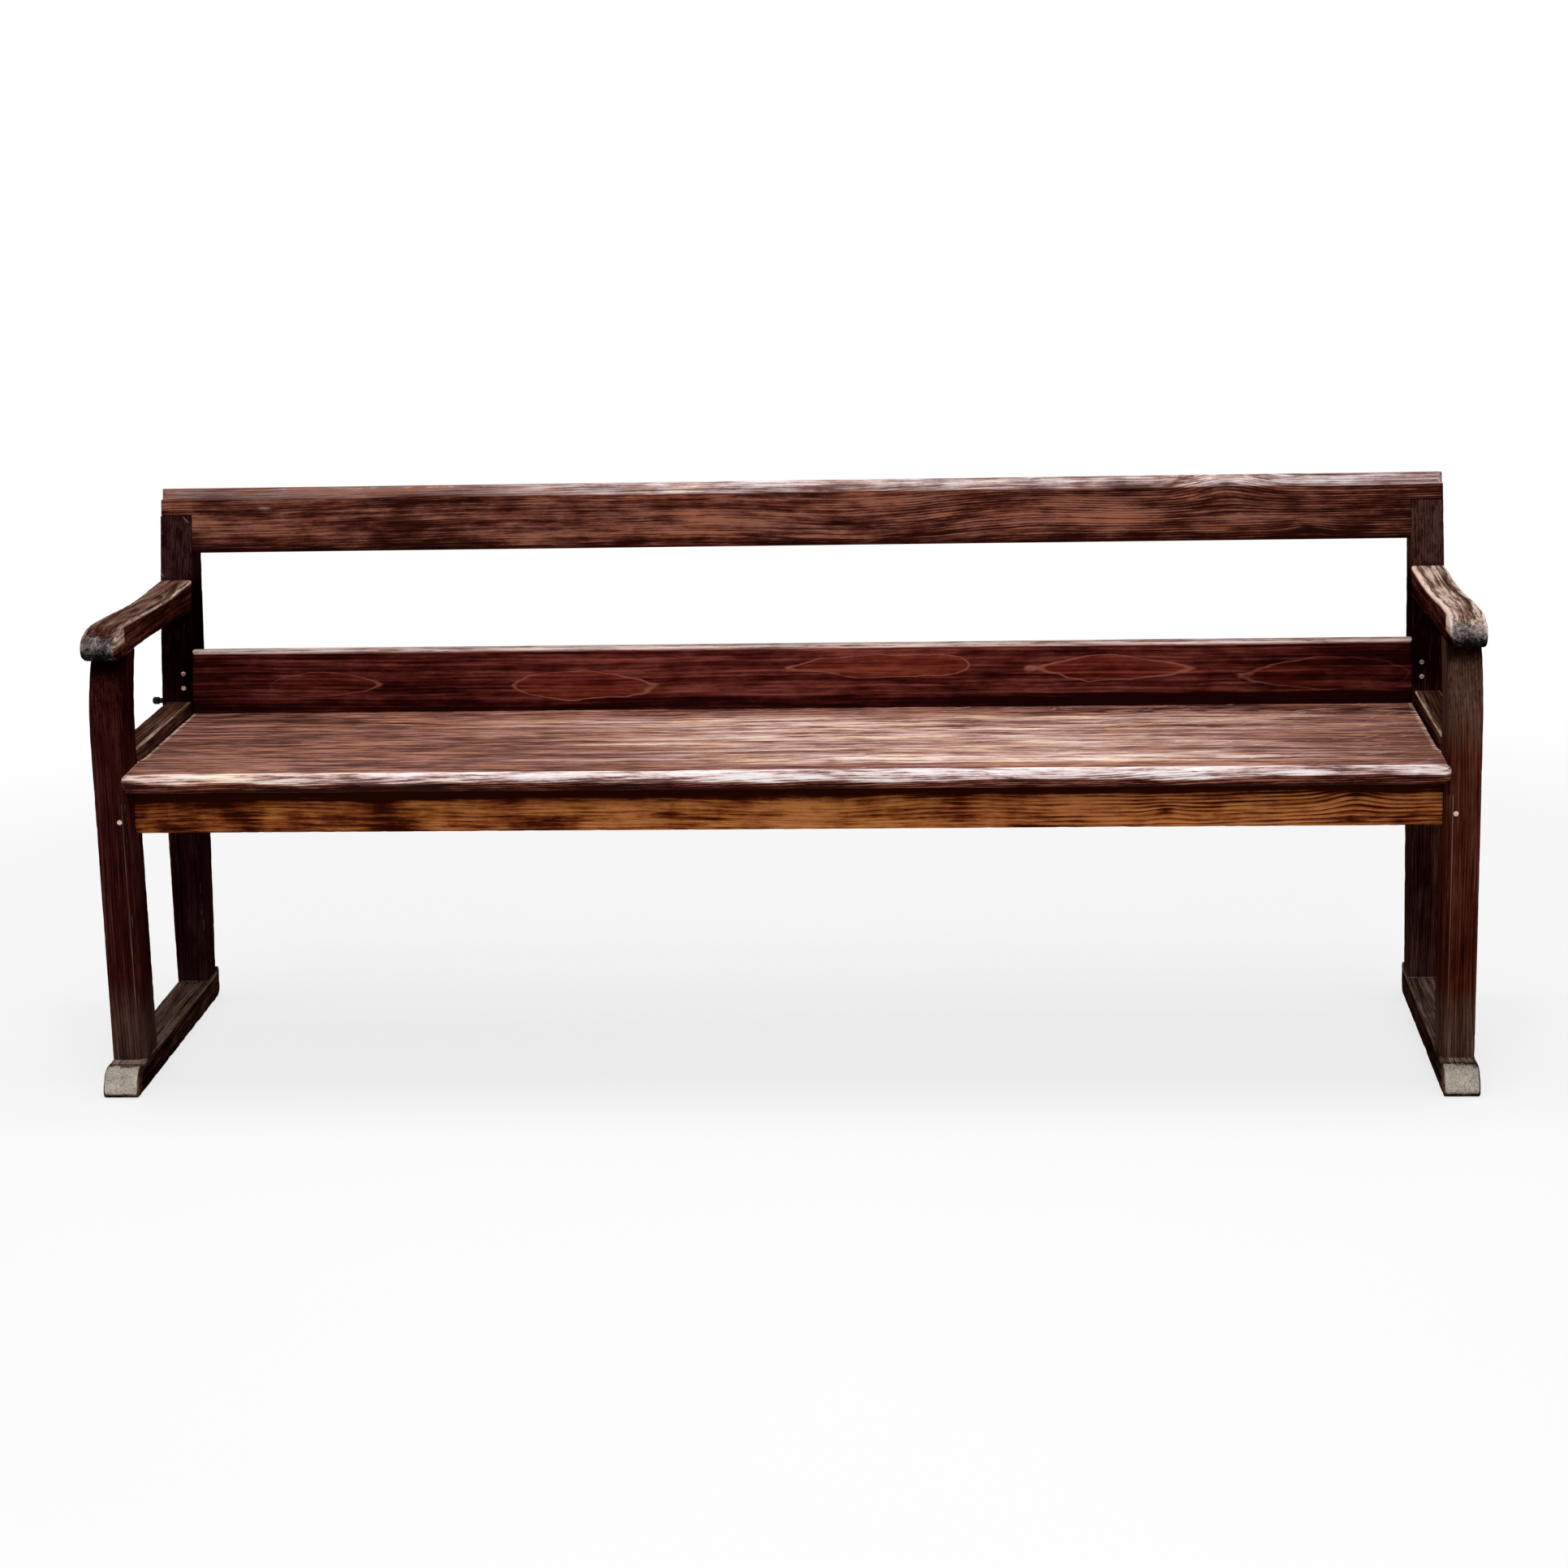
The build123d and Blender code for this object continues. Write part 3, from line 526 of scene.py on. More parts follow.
@dataclass(frozen=True)
class StainedPine:
    """Old pine under dark varnish: growth rings, fibres, blotches, scuffed and weathered places, and the
    painted sheen, highlights and shade that the pieces mark.

    A tone between 0 and 1 is the sum of noises stretched along the grain, less the hard lines of
    the rings. Each state of the wood gives its own colours to that tone.
    """

    name: str
    grain: Grain
    across: Grain  # axis that the fibres' drift moves them along
    stained: Tones
    worn_and_sheen: Tones  # where the varnish has gone, and on some pieces a painted sheen
    aged_and_highlight: Tones  # unvarnished weathered wood or end grain; on the seat, the painted highlight along the nosing
    # island tones colour the ovals; on the seat, the lower half of the nosing, darker red with painted shade
    island: Tones = tones(70, 7, 4, 130, 19, 12, 200, 45, 27)
    island_line: Triple = (0.33, 0.11, 0.08)
    cast: Triple = (1.06, 1.03, 0.95)  # multiplies the colours in streaks
    rings: float = 0.2
    fibres: float = 1.9
    streaks: float = 1.35
    clouds: float = 0.7
    blotches: float = 0.8
    pores: float = 0.3
    blotch_size: Pair = (3, 11)  # cycles a metre, along and across
    fibre_size: Pair = (7, 250)
    streak_size: Pair = (2.4, 82)
    arris_wear: float = 0.6
    scratches: float = 0
    scratch_turn: float = 35  # degrees from the fibres
    speckle: float = 1  # how far end grain shows where the wood is aged
    roughness: float = 0.55
    gloss: float = 0
    relief: float = 0.5
    shift: float = 0

    def run(self, g: Graph, coarse: float, fine: float, shift: float = 0) -> Wire:
        """Places scaled along the drifting fibres.

        Args:
            g: Tree to write in.
            coarse: Cycles a metre along the fibres.
            fine: Cycles a metre across them.
            shift: Moves the pattern, in cycles.

        Returns:
            The scaled places.
        """
        terms = {1: g.add("ShaderNodeCombineXYZ", {}, {self.across.value: g.mark("drift")}), 0: g.place()}
        bent = g.add("ShaderNodeVectorMath", {"operation": "ADD"}, terms)
        return g.along(bent, self.grain, coarse, fine, self.shift + shift)

    def scratched(self, g: Graph) -> Wire:
        """Thin parallel lines at an angle to the fibres, bent a little and cut into short pieces.

        Args:
            g: Tree to write in.

        Returns:
            1 on a scratch, 0 between them.
        """
        turn = Vector((0, 0, 0))
        turn[1 if self.grain is Grain.HEIGHT else 2] = radians(self.scratch_turn)
        sockets = {"Vector": g.place(), "Rotation": turn}
        turned = g.add("ShaderNodeMapping", {"vector_type": "TEXTURE"}, sockets)
        across = Grain.DEPTH if self.grain is Grain.LENGTH else Grain.LENGTH
        bend = g.noise(g.along(turned, self.grain, 9, 9, self.shift), 1)
        row = g.math("FRACT", g.part(turned, across.value) * 85 + bend * 3.5)
        piece = g.noise(g.along(turned, self.grain, 26, 85, self.shift + 4), 1)
        return g.rise(g.math("ABSOLUTE", row - 0.5), 0.07, 0.03) * g.rise(piece, 0.62, 0.68)

    def build(self) -> Material:
        """Write the material.

        Returns:
            The finished material.
        """
        material = bpy.data.materials.new(self.name)
        g = Graph(material)
        fibre = g.noise(self.run(g, *self.fibre_size), 5, 0.74)
        streak = g.noise(self.run(g, *self.streak_size, 1), 5, 0.72)
        pore = g.noise(self.run(g, 26, 620), 2)
        cloud = g.noise(self.run(g, 24, 62), 5, 0.65)
        blotch = g.noise(self.run(g, *self.blotch_size, 2), 4, 0.6)
        tooth = g.math("FRACT", g.mark("ring") + (streak - 0.5) * 0.7)
        late = g.rise(tooth, 0.25, 0.86) * g.rise(tooth, 1, 0.92)
        lines = late * (self.rings + g.mark("figure")) * (0.25 + cloud * 1.5)
        tone = 0.5 + (fibre - 0.5) * self.fibres + (streak - 0.5) * self.streaks
        tone = tone + (cloud - 0.5) * self.clouds + (blotch - 0.5) * self.blotches
        tone = tone - lines - g.rise(pore, 0.6, 0.76) * self.pores + g.mark("tone") + self.rings * 0.25
        colour = g.shade(tone, self.stained)
        inside = g.mark("island")
        plain = 1 - g.mark("faint")
        core = g.rise(inside, 0.5, 0.6) * (0.35 + streak) * plain
        colour = g.blend(core, colour, g.shade(tone + 0.04, self.island))
        rim = g.rise(inside, 0.4, 0.49) * g.rise(inside, 0.6, 0.51)
        colour = g.blend(rim * (cloud * 2 - 0.3) * plain, colour, self.island_line)
        # Wear mark: rubbed places and arrises, and on the seat, rail and back board also a painted sheen.
        bare = g.mark("bare") * 1.6 - (fibre - 0.3) * 0.9 - (cloud - 0.38) * 1.2 - (streak - 0.4) * 0.9
        bare = g.rise(bare, 0.1, 0.95)
        edge = g.mark("arris") * self.arris_wear - (cloud - 0.3) * 2.2 - (pore - 0.5) * 0.8
        bare = g.math("MAXIMUM", bare, g.rise(edge, 0.05, 0.6))
        colour = g.blend(bare * 0.96, colour, g.shade(tone, self.worn_and_sheen))
        scratch = self.scratched(g) * self.scratches * (1 - g.mark("calm"))
        colour = g.blend(scratch, colour, self.worn_and_sheen.light)
        speck = g.noise(g.along(g.place(), Grain.LENGTH, 560, 560, self.shift), 3, 0.7)
        crack = g.noise(g.along(g.place(), Grain.HEIGHT, 60, 210, self.shift), 3, 0.7)
        # Grey mark: weathering and end grain, but on the seat a painted highlight along the nosing.
        weather = g.mark("grey") * 1.5 - (cloud - 0.4) * 1 - (streak - 0.45) * 0.7
        weather = g.rise(weather, 0.12, 0.85)
        split = g.rise(crack, 0.58, 0.68) * self.speckle
        aged_and_highlight_tone = 0.5 + (tone - 0.5) * (1 - 0.7 * self.speckle) - lines * self.speckle * 0.5
        aged_and_highlight_tone = aged_and_highlight_tone + (speck - 0.5) * 1.3 * self.speckle - split * 0.12
        colour = g.blend(weather * 0.96, colour, g.shade(aged_and_highlight_tone, self.aged_and_highlight))
        warm = g.noise(self.run(g, 9, 26, 3), 4)
        colour = g.blend(g.rise(warm, 0.42, 0.66) * (1 - weather), colour, self.cast, "MULTIPLY")
        soft = 1 - weather * self.speckle
        height = fibre * 0.6 + pore * 0.25 - late * soft * 0.3 - cloud * 0.3 - bare * 0.25 - scratch * 0.8
        height = height + weather * (speck * 0.8 - split * 0.2) * self.speckle
        bump = g.bump(self.relief, 0.0009, height)
        rough = self.roughness + (fibre - 0.5) * 0.25 + (cloud - 0.5) * 0.35 + weather * 0.2
        rough = g.math("MINIMUM", g.math("MAXIMUM", rough, 0.2), 0.9)
        g.add("ShaderNodeOutputMaterial", {}, {"Surface": g.surface(colour, rough, self.gloss, Normal=bump)})
        return material


@dataclass(frozen=True)
class BlackIron:
    """Old wrought iron with a dull black skin and a little brown rust."""

    name: str
    skin: Triple = (0.004, 0.0035, 0.004)
    rust: Triple = (0.03, 0.012, 0.007)

    def build(self) -> Material:
        """Write the material.

        Returns:
            The finished material.
        """
        material = bpy.data.materials.new(self.name)
        g = Graph(material)
        patch = g.noise(g.along(g.place(), Grain.LENGTH, 240, 240, 0), 5, 0.65)
        rusty = g.rise(patch, 0.52, 0.7)
        bump = g.bump(0.4, 0.0006, patch)
        shader = g.surface(g.blend(rusty, self.skin, self.rust), 0.55 + rusty * 0.3, 0.12, Normal=bump)
        g.add("ShaderNodeOutputMaterial", {}, {"Surface": shader})
        return material


# The bench's own lines


@dataclass(frozen=True)
class Lines:
    """Sizes and curves that the pieces share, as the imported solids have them."""

    half_length: float = 950
    post_thick: float = 47
    front_face: float = -230  # world depth of the front legs' faces
    foot_height: float = 39
    arm_bottom: float = 612
    leg_spacing: float = 375
    bend_start: float = 219
    bend_top: float = 646
    rake: float = radians(15)
    lean: float = radians(7)
    rear_foot: float = 427
    seat_bottom: float = 427
    seat_top: float = 454
    apron_bottom: float = 361
    fit: float = 0.3
    behind: float = 3  # from the rear posts' faces back to those of the boards

    @property
    def inner(self) -> float:
        """Distance from the middle to a post's inner face."""
        return self.half_length - self.post_thick

    @property
    def radius(self) -> float:
        """Radius of the rear posts' bend."""
        return (self.bend_top - self.bend_start) / sin(self.rake)

    def rear_face(self, z: Array | float) -> Array:
        """Depth of a rear post's front face: upright, then on its arc, then raked.

        Args:
            z: Height above the floor.

        Returns:
            Depth behind the legs' faces.
        """
        up = np.clip(z - self.bend_start, 0, self.bend_top - self.bend_start)
        arc = self.radius - np.sqrt(self.radius**2 - up**2)
        return self.leg_spacing + arc + np.clip(z - self.bend_top, 0, None) * tan(self.rake)

    def rear_edge(self, z: Array) -> Array:
        """Depth of a rear post's leaning rear edge."""
        return self.rear_foot + (z - self.foot_height) * tan(self.lean)

    def board_face(self, z: Array) -> Array:
        """Depth of the low back board's front face."""
        return self.rear_face(self.seat_top) + self.behind + (z - self.seat_top) * tan(self.lean)

    def world(self, x: Array, y: Array, z: Array) -> Array:
        """Places on the bench from the distance along it, the depth behind the legs and the height."""
        return np.stack(np.broadcast_arrays(x, y + self.front_face, z), axis=-1)


LINES = Lines()


def add_object(name: str, data: bpy.types.ID) -> bpy.types.Object:
    """New object of the scene that shows the given data.

    Args:
        name: Its name.
        data: Mesh, lamp or camera.

    Returns:
        The object.
    """
    made = bpy.data.objects.new(name, data)
    bpy.context.scene.collection.objects.link(made)
    return made


def write_piece(name: str, shape: Shape, material: Material, nodes: tuple[str, ...]) -> None:
    """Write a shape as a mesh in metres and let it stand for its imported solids.

    Args:
        name: Name of the piece.
        shape: Its surface and marks.
        material: Its finish.
        nodes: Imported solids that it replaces.
    """
    mesh = bpy.data.meshes.new(name)
    count = len(shape.quads)
    mesh.vertices.add(len(shape.points))
    mesh.vertices.foreach_set("co", (shape.points * MM).astype(np.float32).ravel())
    mesh.loops.add(4 * count)
    mesh.loops.foreach_set("vertex_index", shape.quads.astype(np.int32).ravel())
    mesh.polygons.add(count)
    mesh.polygons.foreach_set("loop_start", np.arange(0, 4 * count, 4, dtype=np.int32))
    for mark, values in shape.marks.items():
        layer = mesh.attributes.new(mark, "FLOAT", "POINT")
        layer.data.foreach_set("value", np.broadcast_to(values, len(shape.points)).astype(np.float32))
    mesh.update(calc_edges=True)
    mesh.polygons.foreach_set("use_smooth", np.ones(count, dtype=bool))
    mesh.set_sharp_from_angle(angle=radians(48))
    mesh.materials.append(material)
    piece = add_object(name, mesh)
    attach(piece, "root")
    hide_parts(*nodes)
    log.info("%s: %d faces", name, count)


# End frames


@dataclass
class EndFrame:
    """Foot, two posts, arm and side rail of one end."""

    hand: Hand
    foot_inner: float = 901.5
    foot_wide: float = 50
    foot_toe: float = -57
    foot_heel: float = 442
    lip: float = 7
    front_deep: float = 67
    front_sweep: Pair = (35, 114)
    rear_sweep: Pair = (27, 128)
    chamfer: Pair = (9, 12)
    chamfer_end: float = 419
    chamfer_run: float = 13
    rear_deep: float = 56
    rear_top: float = 772
    shoulder: float = 742.4
    rail_notch: float = 33.3
    arm_inner: float = 902
    arm_wide: float = 49
    arm_nose: float = -15.5
    arm_high: float = 43
    arm_dip: float = 9
    arm_dip_at: float = 300
    side_x: Pair = (906, 944)
    side_top: float = 471

    def across(self, inner: float, b: Array) -> Array:
        """World X of a place that lies b outside the given inner face, at this end."""
        return self.hand.value * (inner + b)

    def seed(self, number: int) -> int:
        """Seed that differs between the two ends."""
        return number + self.either(500, 0)

    def either(self, left: float, right: float) -> float:
        """The value of this end, out of the left one's and the right one's."""
        return left if self.hand is Hand.LEFT else right

    def foot(self) -> Shape:
        """Sledge foot: rounded toe, flat runner and upturned heel.

        The blank lies along the depth; the top near the heel is lifted by the lip.

        Returns:
            The marked shape.
        """
        length = self.foot_heel - self.foot_toe
        extra = (*np.arange(12, 62, 2.5), 486, 487.5, 489, 491)
        corners = ((False, False, 7, 7), (False, True, 31, 31), (True, False, 17, 17), (True, True, 4.5, 5))
        size = (length, self.foot_wide, LINES.foot_height)
        shape = Blank(size, (6, 4, 3.5), (extra, (), ()), corners, True).cut(3)
        a, b, c = shape.points.T
        lifted = self.lip * smooth(length - 14, length - 9.5, shape.flat[:, 0])
        z = c * (1 + lifted / LINES.foot_height)
        shape.points = LINES.world(self.across(self.foot_inner, b), self.foot_toe + a, z)
        Log(3.1, -34, 62, wander=3, seed=self.seed(3)).mark(shape)
        toe = 1 - smooth(12, 40, a + 26 * mottle(self.seed(5), a / 12, b / 7, c / 9))
        top = smooth(0.8, 1, c / LINES.foot_height)
        runner = top * smooth(50, 130, a)
        sides = smooth(0.5, 4, b) * smooth(self.foot_wide - 0.5, self.foot_wide - 4, b)
        edges = np.maximum(hump(b, 0, 5), hump(b, self.foot_wide, 5))
        step = top * hump(a, 50, 16) * (1 - toe)
        crumbly = mottle(self.seed(7), a / 30, b / 14, c / 14)
        tone = toe * (self.either(0.3, 0.2) + 1.1 * crumbly - 0.35 * smooth(16, 4, c)) + 0.25 * step
        shape.note(
            grey=0.95 * toe * smooth(2, 12, c) * sides,
            figure=-0.1 * toe,
            bare=0.68 * runner + 0.4 * runner * edges + 1.2 * step,
            tone=tone - 0.14 * (1 - toe) * (1 - top) - 0.2 * smooth(10, 2, c),
        )
        shape.weather(0.35, 1.6, self.seed(11))
        shape.points[:, 2] = np.maximum(shape.points[:, 2], 0)
        return shape

    def front_post(self) -> Shape:
        """Front post: upright leg whose two edges sweep back on arcs into the arm.

        Depth of an edge = R - sqrt(R^2 - h^2) at the height h above the arc's start. The inner
        front arris is cut back to the plane x / across + y / back = 1.

        Returns:
            The marked shape.
        """
        low = LINES.foot_height
        stop = self.chamfer_end - self.chamfer_run - low
        extra = (tuple(stop + rise for rise in (0, 3, 6, 9, 12)), (8, 9), (10.5, 11.5, 12.5))
        size = (LINES.arm_bottom - low, LINES.post_thick, self.front_deep)
        shape = Blank(size, (6, 3, 3.5), extra).cut(2.4)
        a, b, c = shape.points.T
        z = low + a

        def swept(sweep: float, height: float) -> Array:
            """Depth of an edge that sweeps back so far over so much height.

            Args:
                sweep: Depth gained at the top.
                height: Height of the arc.

            Returns:
                The depth at each place.
            """
            radius = (sweep**2 + height**2) / (2 * sweep)
            up = np.clip(z - (LINES.arm_bottom - height), 0, None)
            return radius - np.sqrt(radius**2 - up**2)

        front = swept(*self.front_sweep)
        y = front + c / self.front_deep * (self.front_deep + swept(*self.rear_sweep) - front)
        across, back = self.chamfer
        full = smooth(self.chamfer_end, self.chamfer_end - self.chamfer_run, z)
        lack = np.clip(full - (b / across + (y - front) / back), 0, None)
        squared = 1 / across**2 + 1 / back**2
        b = b + lack / across / squared
        y = y + lack / back / squared
        shape.points = LINES.world(self.across(LINES.inner, b), y, z)
        Log(2.6, 66, -46, wander=2.5, stretch=300, slope=0.004, seed=self.seed(21)).mark(shape)
        high = smooth(400, 540, z)
        chipped = 0.68 * hump(b, across, 1.3) * hump(y - front, 0, 2) * full
        # painted shade on the post's front, just under the arm
        shade_under_arm = smooth(LINES.arm_bottom - 34, LINES.arm_bottom - 6, z)
        tone = 0.02 - 0.1 * smooth(9, 2, b) - self.either(0.22, 0.05) * high
        shape.note(
            grey=0.66 * smooth(210, 45, z) + self.either(0, 0.52) * high,
            bare=0.8 * smooth(low + 4.5, low + 1.5, z) + chipped,
            tone=tone - 0.5 * shade_under_arm * smooth(20, 0, y - front),
            arris=shape.marks["arris"] * (0.7 + 0.7 * hump(b, across, 4) * full),
        )
        return shape.weather(0.3, 1.5, self.seed(31))

    def rear_post(self) -> Shape:
        """Rear post: sections square to its bent front face, cut back behind the top rail.

        A section starts at the front face at height s and runs back and down at the angle theta;
        it meets the rear edge after t = (edge(s) - face(s)) / (cos theta + sin theta * tan lean).

        Returns:
            The marked shape.
        """
        low, top = LINES.foot_height, self.rear_top
        notch = self.shoulder - low
        size = (top - low, LINES.post_thick, self.rear_deep)
        shape = Blank(size, (7, 4, 4), ((notch - JUMP, notch + JUMP), (), ())).cut(2.4)
        a, b, c = shape.points.T
        s = low + a
        turn = LINES.rake * np.clip((s - LINES.bend_start) / (LINES.bend_top - LINES.bend_start), 0, 1)
        turn = turn * smooth(top, self.shoulder + 4, s)
        face = LINES.rear_face(s)
        deep = (LINES.rear_edge(s) - face) / (np.cos(turn) + np.sin(turn) * tan(LINES.lean))
        start = np.where(a > notch, self.rail_notch, 0)
        t = start + c / self.rear_deep * (deep - start)
        z = s - t * np.sin(turn)
        shape.points = LINES.world(self.across(LINES.inner, b), face + t * np.cos(turn), z)
        Log(2.4, -52, 90, wander=3, stretch=280, slope=0.02, seed=self.seed(41)).mark(shape)
        above = smooth(620, 660, z)
        shaded = smooth(430, 520, z) * (1 - above)
        shape.note(
            grey=0.3 * smooth(110, 45, z),
            bare=0.7 * smooth(low + 4.5, low + 1.5, z),
            calm=1 - above * smooth(3, 0.5, c),
            tone=0.12 * above - 0.42 * shaded - 0.06 * smooth(10, 2, b),
        )
        return shape.weather(0.3, 1.4, self.seed(51))

    def arm(self) -> Shape:
        """Arm: a blank with two elliptical corners at its nose, dished on top, deeper at the heel.

        The top sinks by a bell round the dip, and the underside by a rise towards the heel.

        Returns:
            The marked shape.
        """
        heel = LINES.rear_face(LINES.arm_bottom + 19) - LINES.fit
        length = heel - self.arm_nose
        corners = ((False, False, 20, 18), (False, True, 54, 25))
        size = (length, self.arm_wide, self.arm_high)
        shape = Blank(size, (5, 3, 3), (tuple(np.arange(12, 60, 2.5)), (), ()), corners).cut(3.6)
        a, b, c = shape.points.T
        share = c / self.arm_high
        down = self.arm_dip * smooth(56, self.arm_dip_at, a) - 3 * smooth(self.arm_dip_at, length, a)
        under = 8 * smooth(130, length + 60, a)
        z = LINES.arm_bottom + c - down * share - under * (1 - share)
        reach = LINES.rear_face(z) - LINES.fit - heel
        y = self.arm_nose + a + reach * smooth(length - 60, length, a)
        shape.points = LINES.world(self.across(self.arm_inner, b), y, z)
        Log(2.7, 24, -30, wander=2.5, stretch=260, seed=self.seed(61)).mark(shape)
        top = np.maximum(smooth(0.8, 0.97, share), smooth(60, 52, a) * smooth(12, 24, c))
        ragged = 30 * mottle(self.seed(65), b / 9, c / 14, a / 14)
        nose = smooth(54, 20, a + ragged)
        front = smooth(60, 52, a) * smooth(1, 17, self.arm_high - c + 0.7 * ragged)
        end_grain = front * smooth(0.5, 4, b) * smooth(self.arm_wide - 0.5, self.arm_wide - 4, b)
        edges = np.maximum(hump(b, 0, 4.2), hump(b, self.arm_wide, 4.2))
        tone = self.either(0.12, 0.42) * top * edges - 0.08 * (1 - top)
        tone = tone + self.either(-0.14, 0) * nose * smooth(14, 30, c)
        tone = tone + self.either(0, 0.13) * top * (1 - front)
        shape.note(
            bare=np.clip(self.either(0.55, 0.8) * top + 0.4 * top * edges, 0, 1),
            grey=0.95 * end_grain,
            # painted shade on the arm's lower half, mostly under the nose
            tone=tone - 0.6 * smooth(22, 6, c) * (0.2 + 0.8 * nose),
            figure=-0.08 * nose,
        )
        return shape.weather(0.4, 2, self.seed(71))

    def side_rail(self) -> Shape:
        """Side rail between the posts, scribed at its rear end to the bent post.

        Returns:
            The marked shape.
        """
        inner, outer = self.side_x
        heel = LINES.rear_face(LINES.seat_top) - LINES.fit
        length = heel - self.front_deep
        high = self.side_top - LINES.apron_bottom
        shape = Blank((length, outer - inner, high), (6, 4, 5)).cut(2.2)
        a, b, c = shape.points.T
        z = LINES.apron_bottom + c
        reach = LINES.rear_face(z) - LINES.fit - heel
        y = self.front_deep + a + reach * smooth(length - 60, length, a)
        shape.points = LINES.world(self.across(inner, b), y, z)
        Log(3, -25, 40, wander=3, seed=self.seed(81)).mark(shape)
        top = smooth(high - 4, high, c)
        tone = 0.32 * top * hump(b, 0, 4) - 0.1 - 0.2 * smooth(high - 6, high - 30, c)
        shape.note(bare=0.42 * top + 0.5 * top * hump(b, 0, 5), tone=tone)
        return shape.weather(0.3, 1.4, self.seed(91))

    def build(self, wood: dict[str, Material]) -> None:
        """Make and dress the five timbers.

        Args:
            wood: Finishes by name.
        """
        word = self.hand.word
        works = (
            ("foot", self.foot, "foot", "frame_wood"),
            ("front_post", self.front_post, f"{word}_post", "frame_wood"),
            ("rear_post", self.rear_post, f"{word}_rear", "frame_wood"),
            ("arm", self.arm, "arm", "frame_wood"),
            ("side_rail", self.side_rail, "side_rail", "seat_wood"),
        )
        for part, make, finish, slot in works:
            node = f"{word}_{part}"
            write_piece(f"worn_{node}", make(), wood[finish], (node,))


# Seat and back


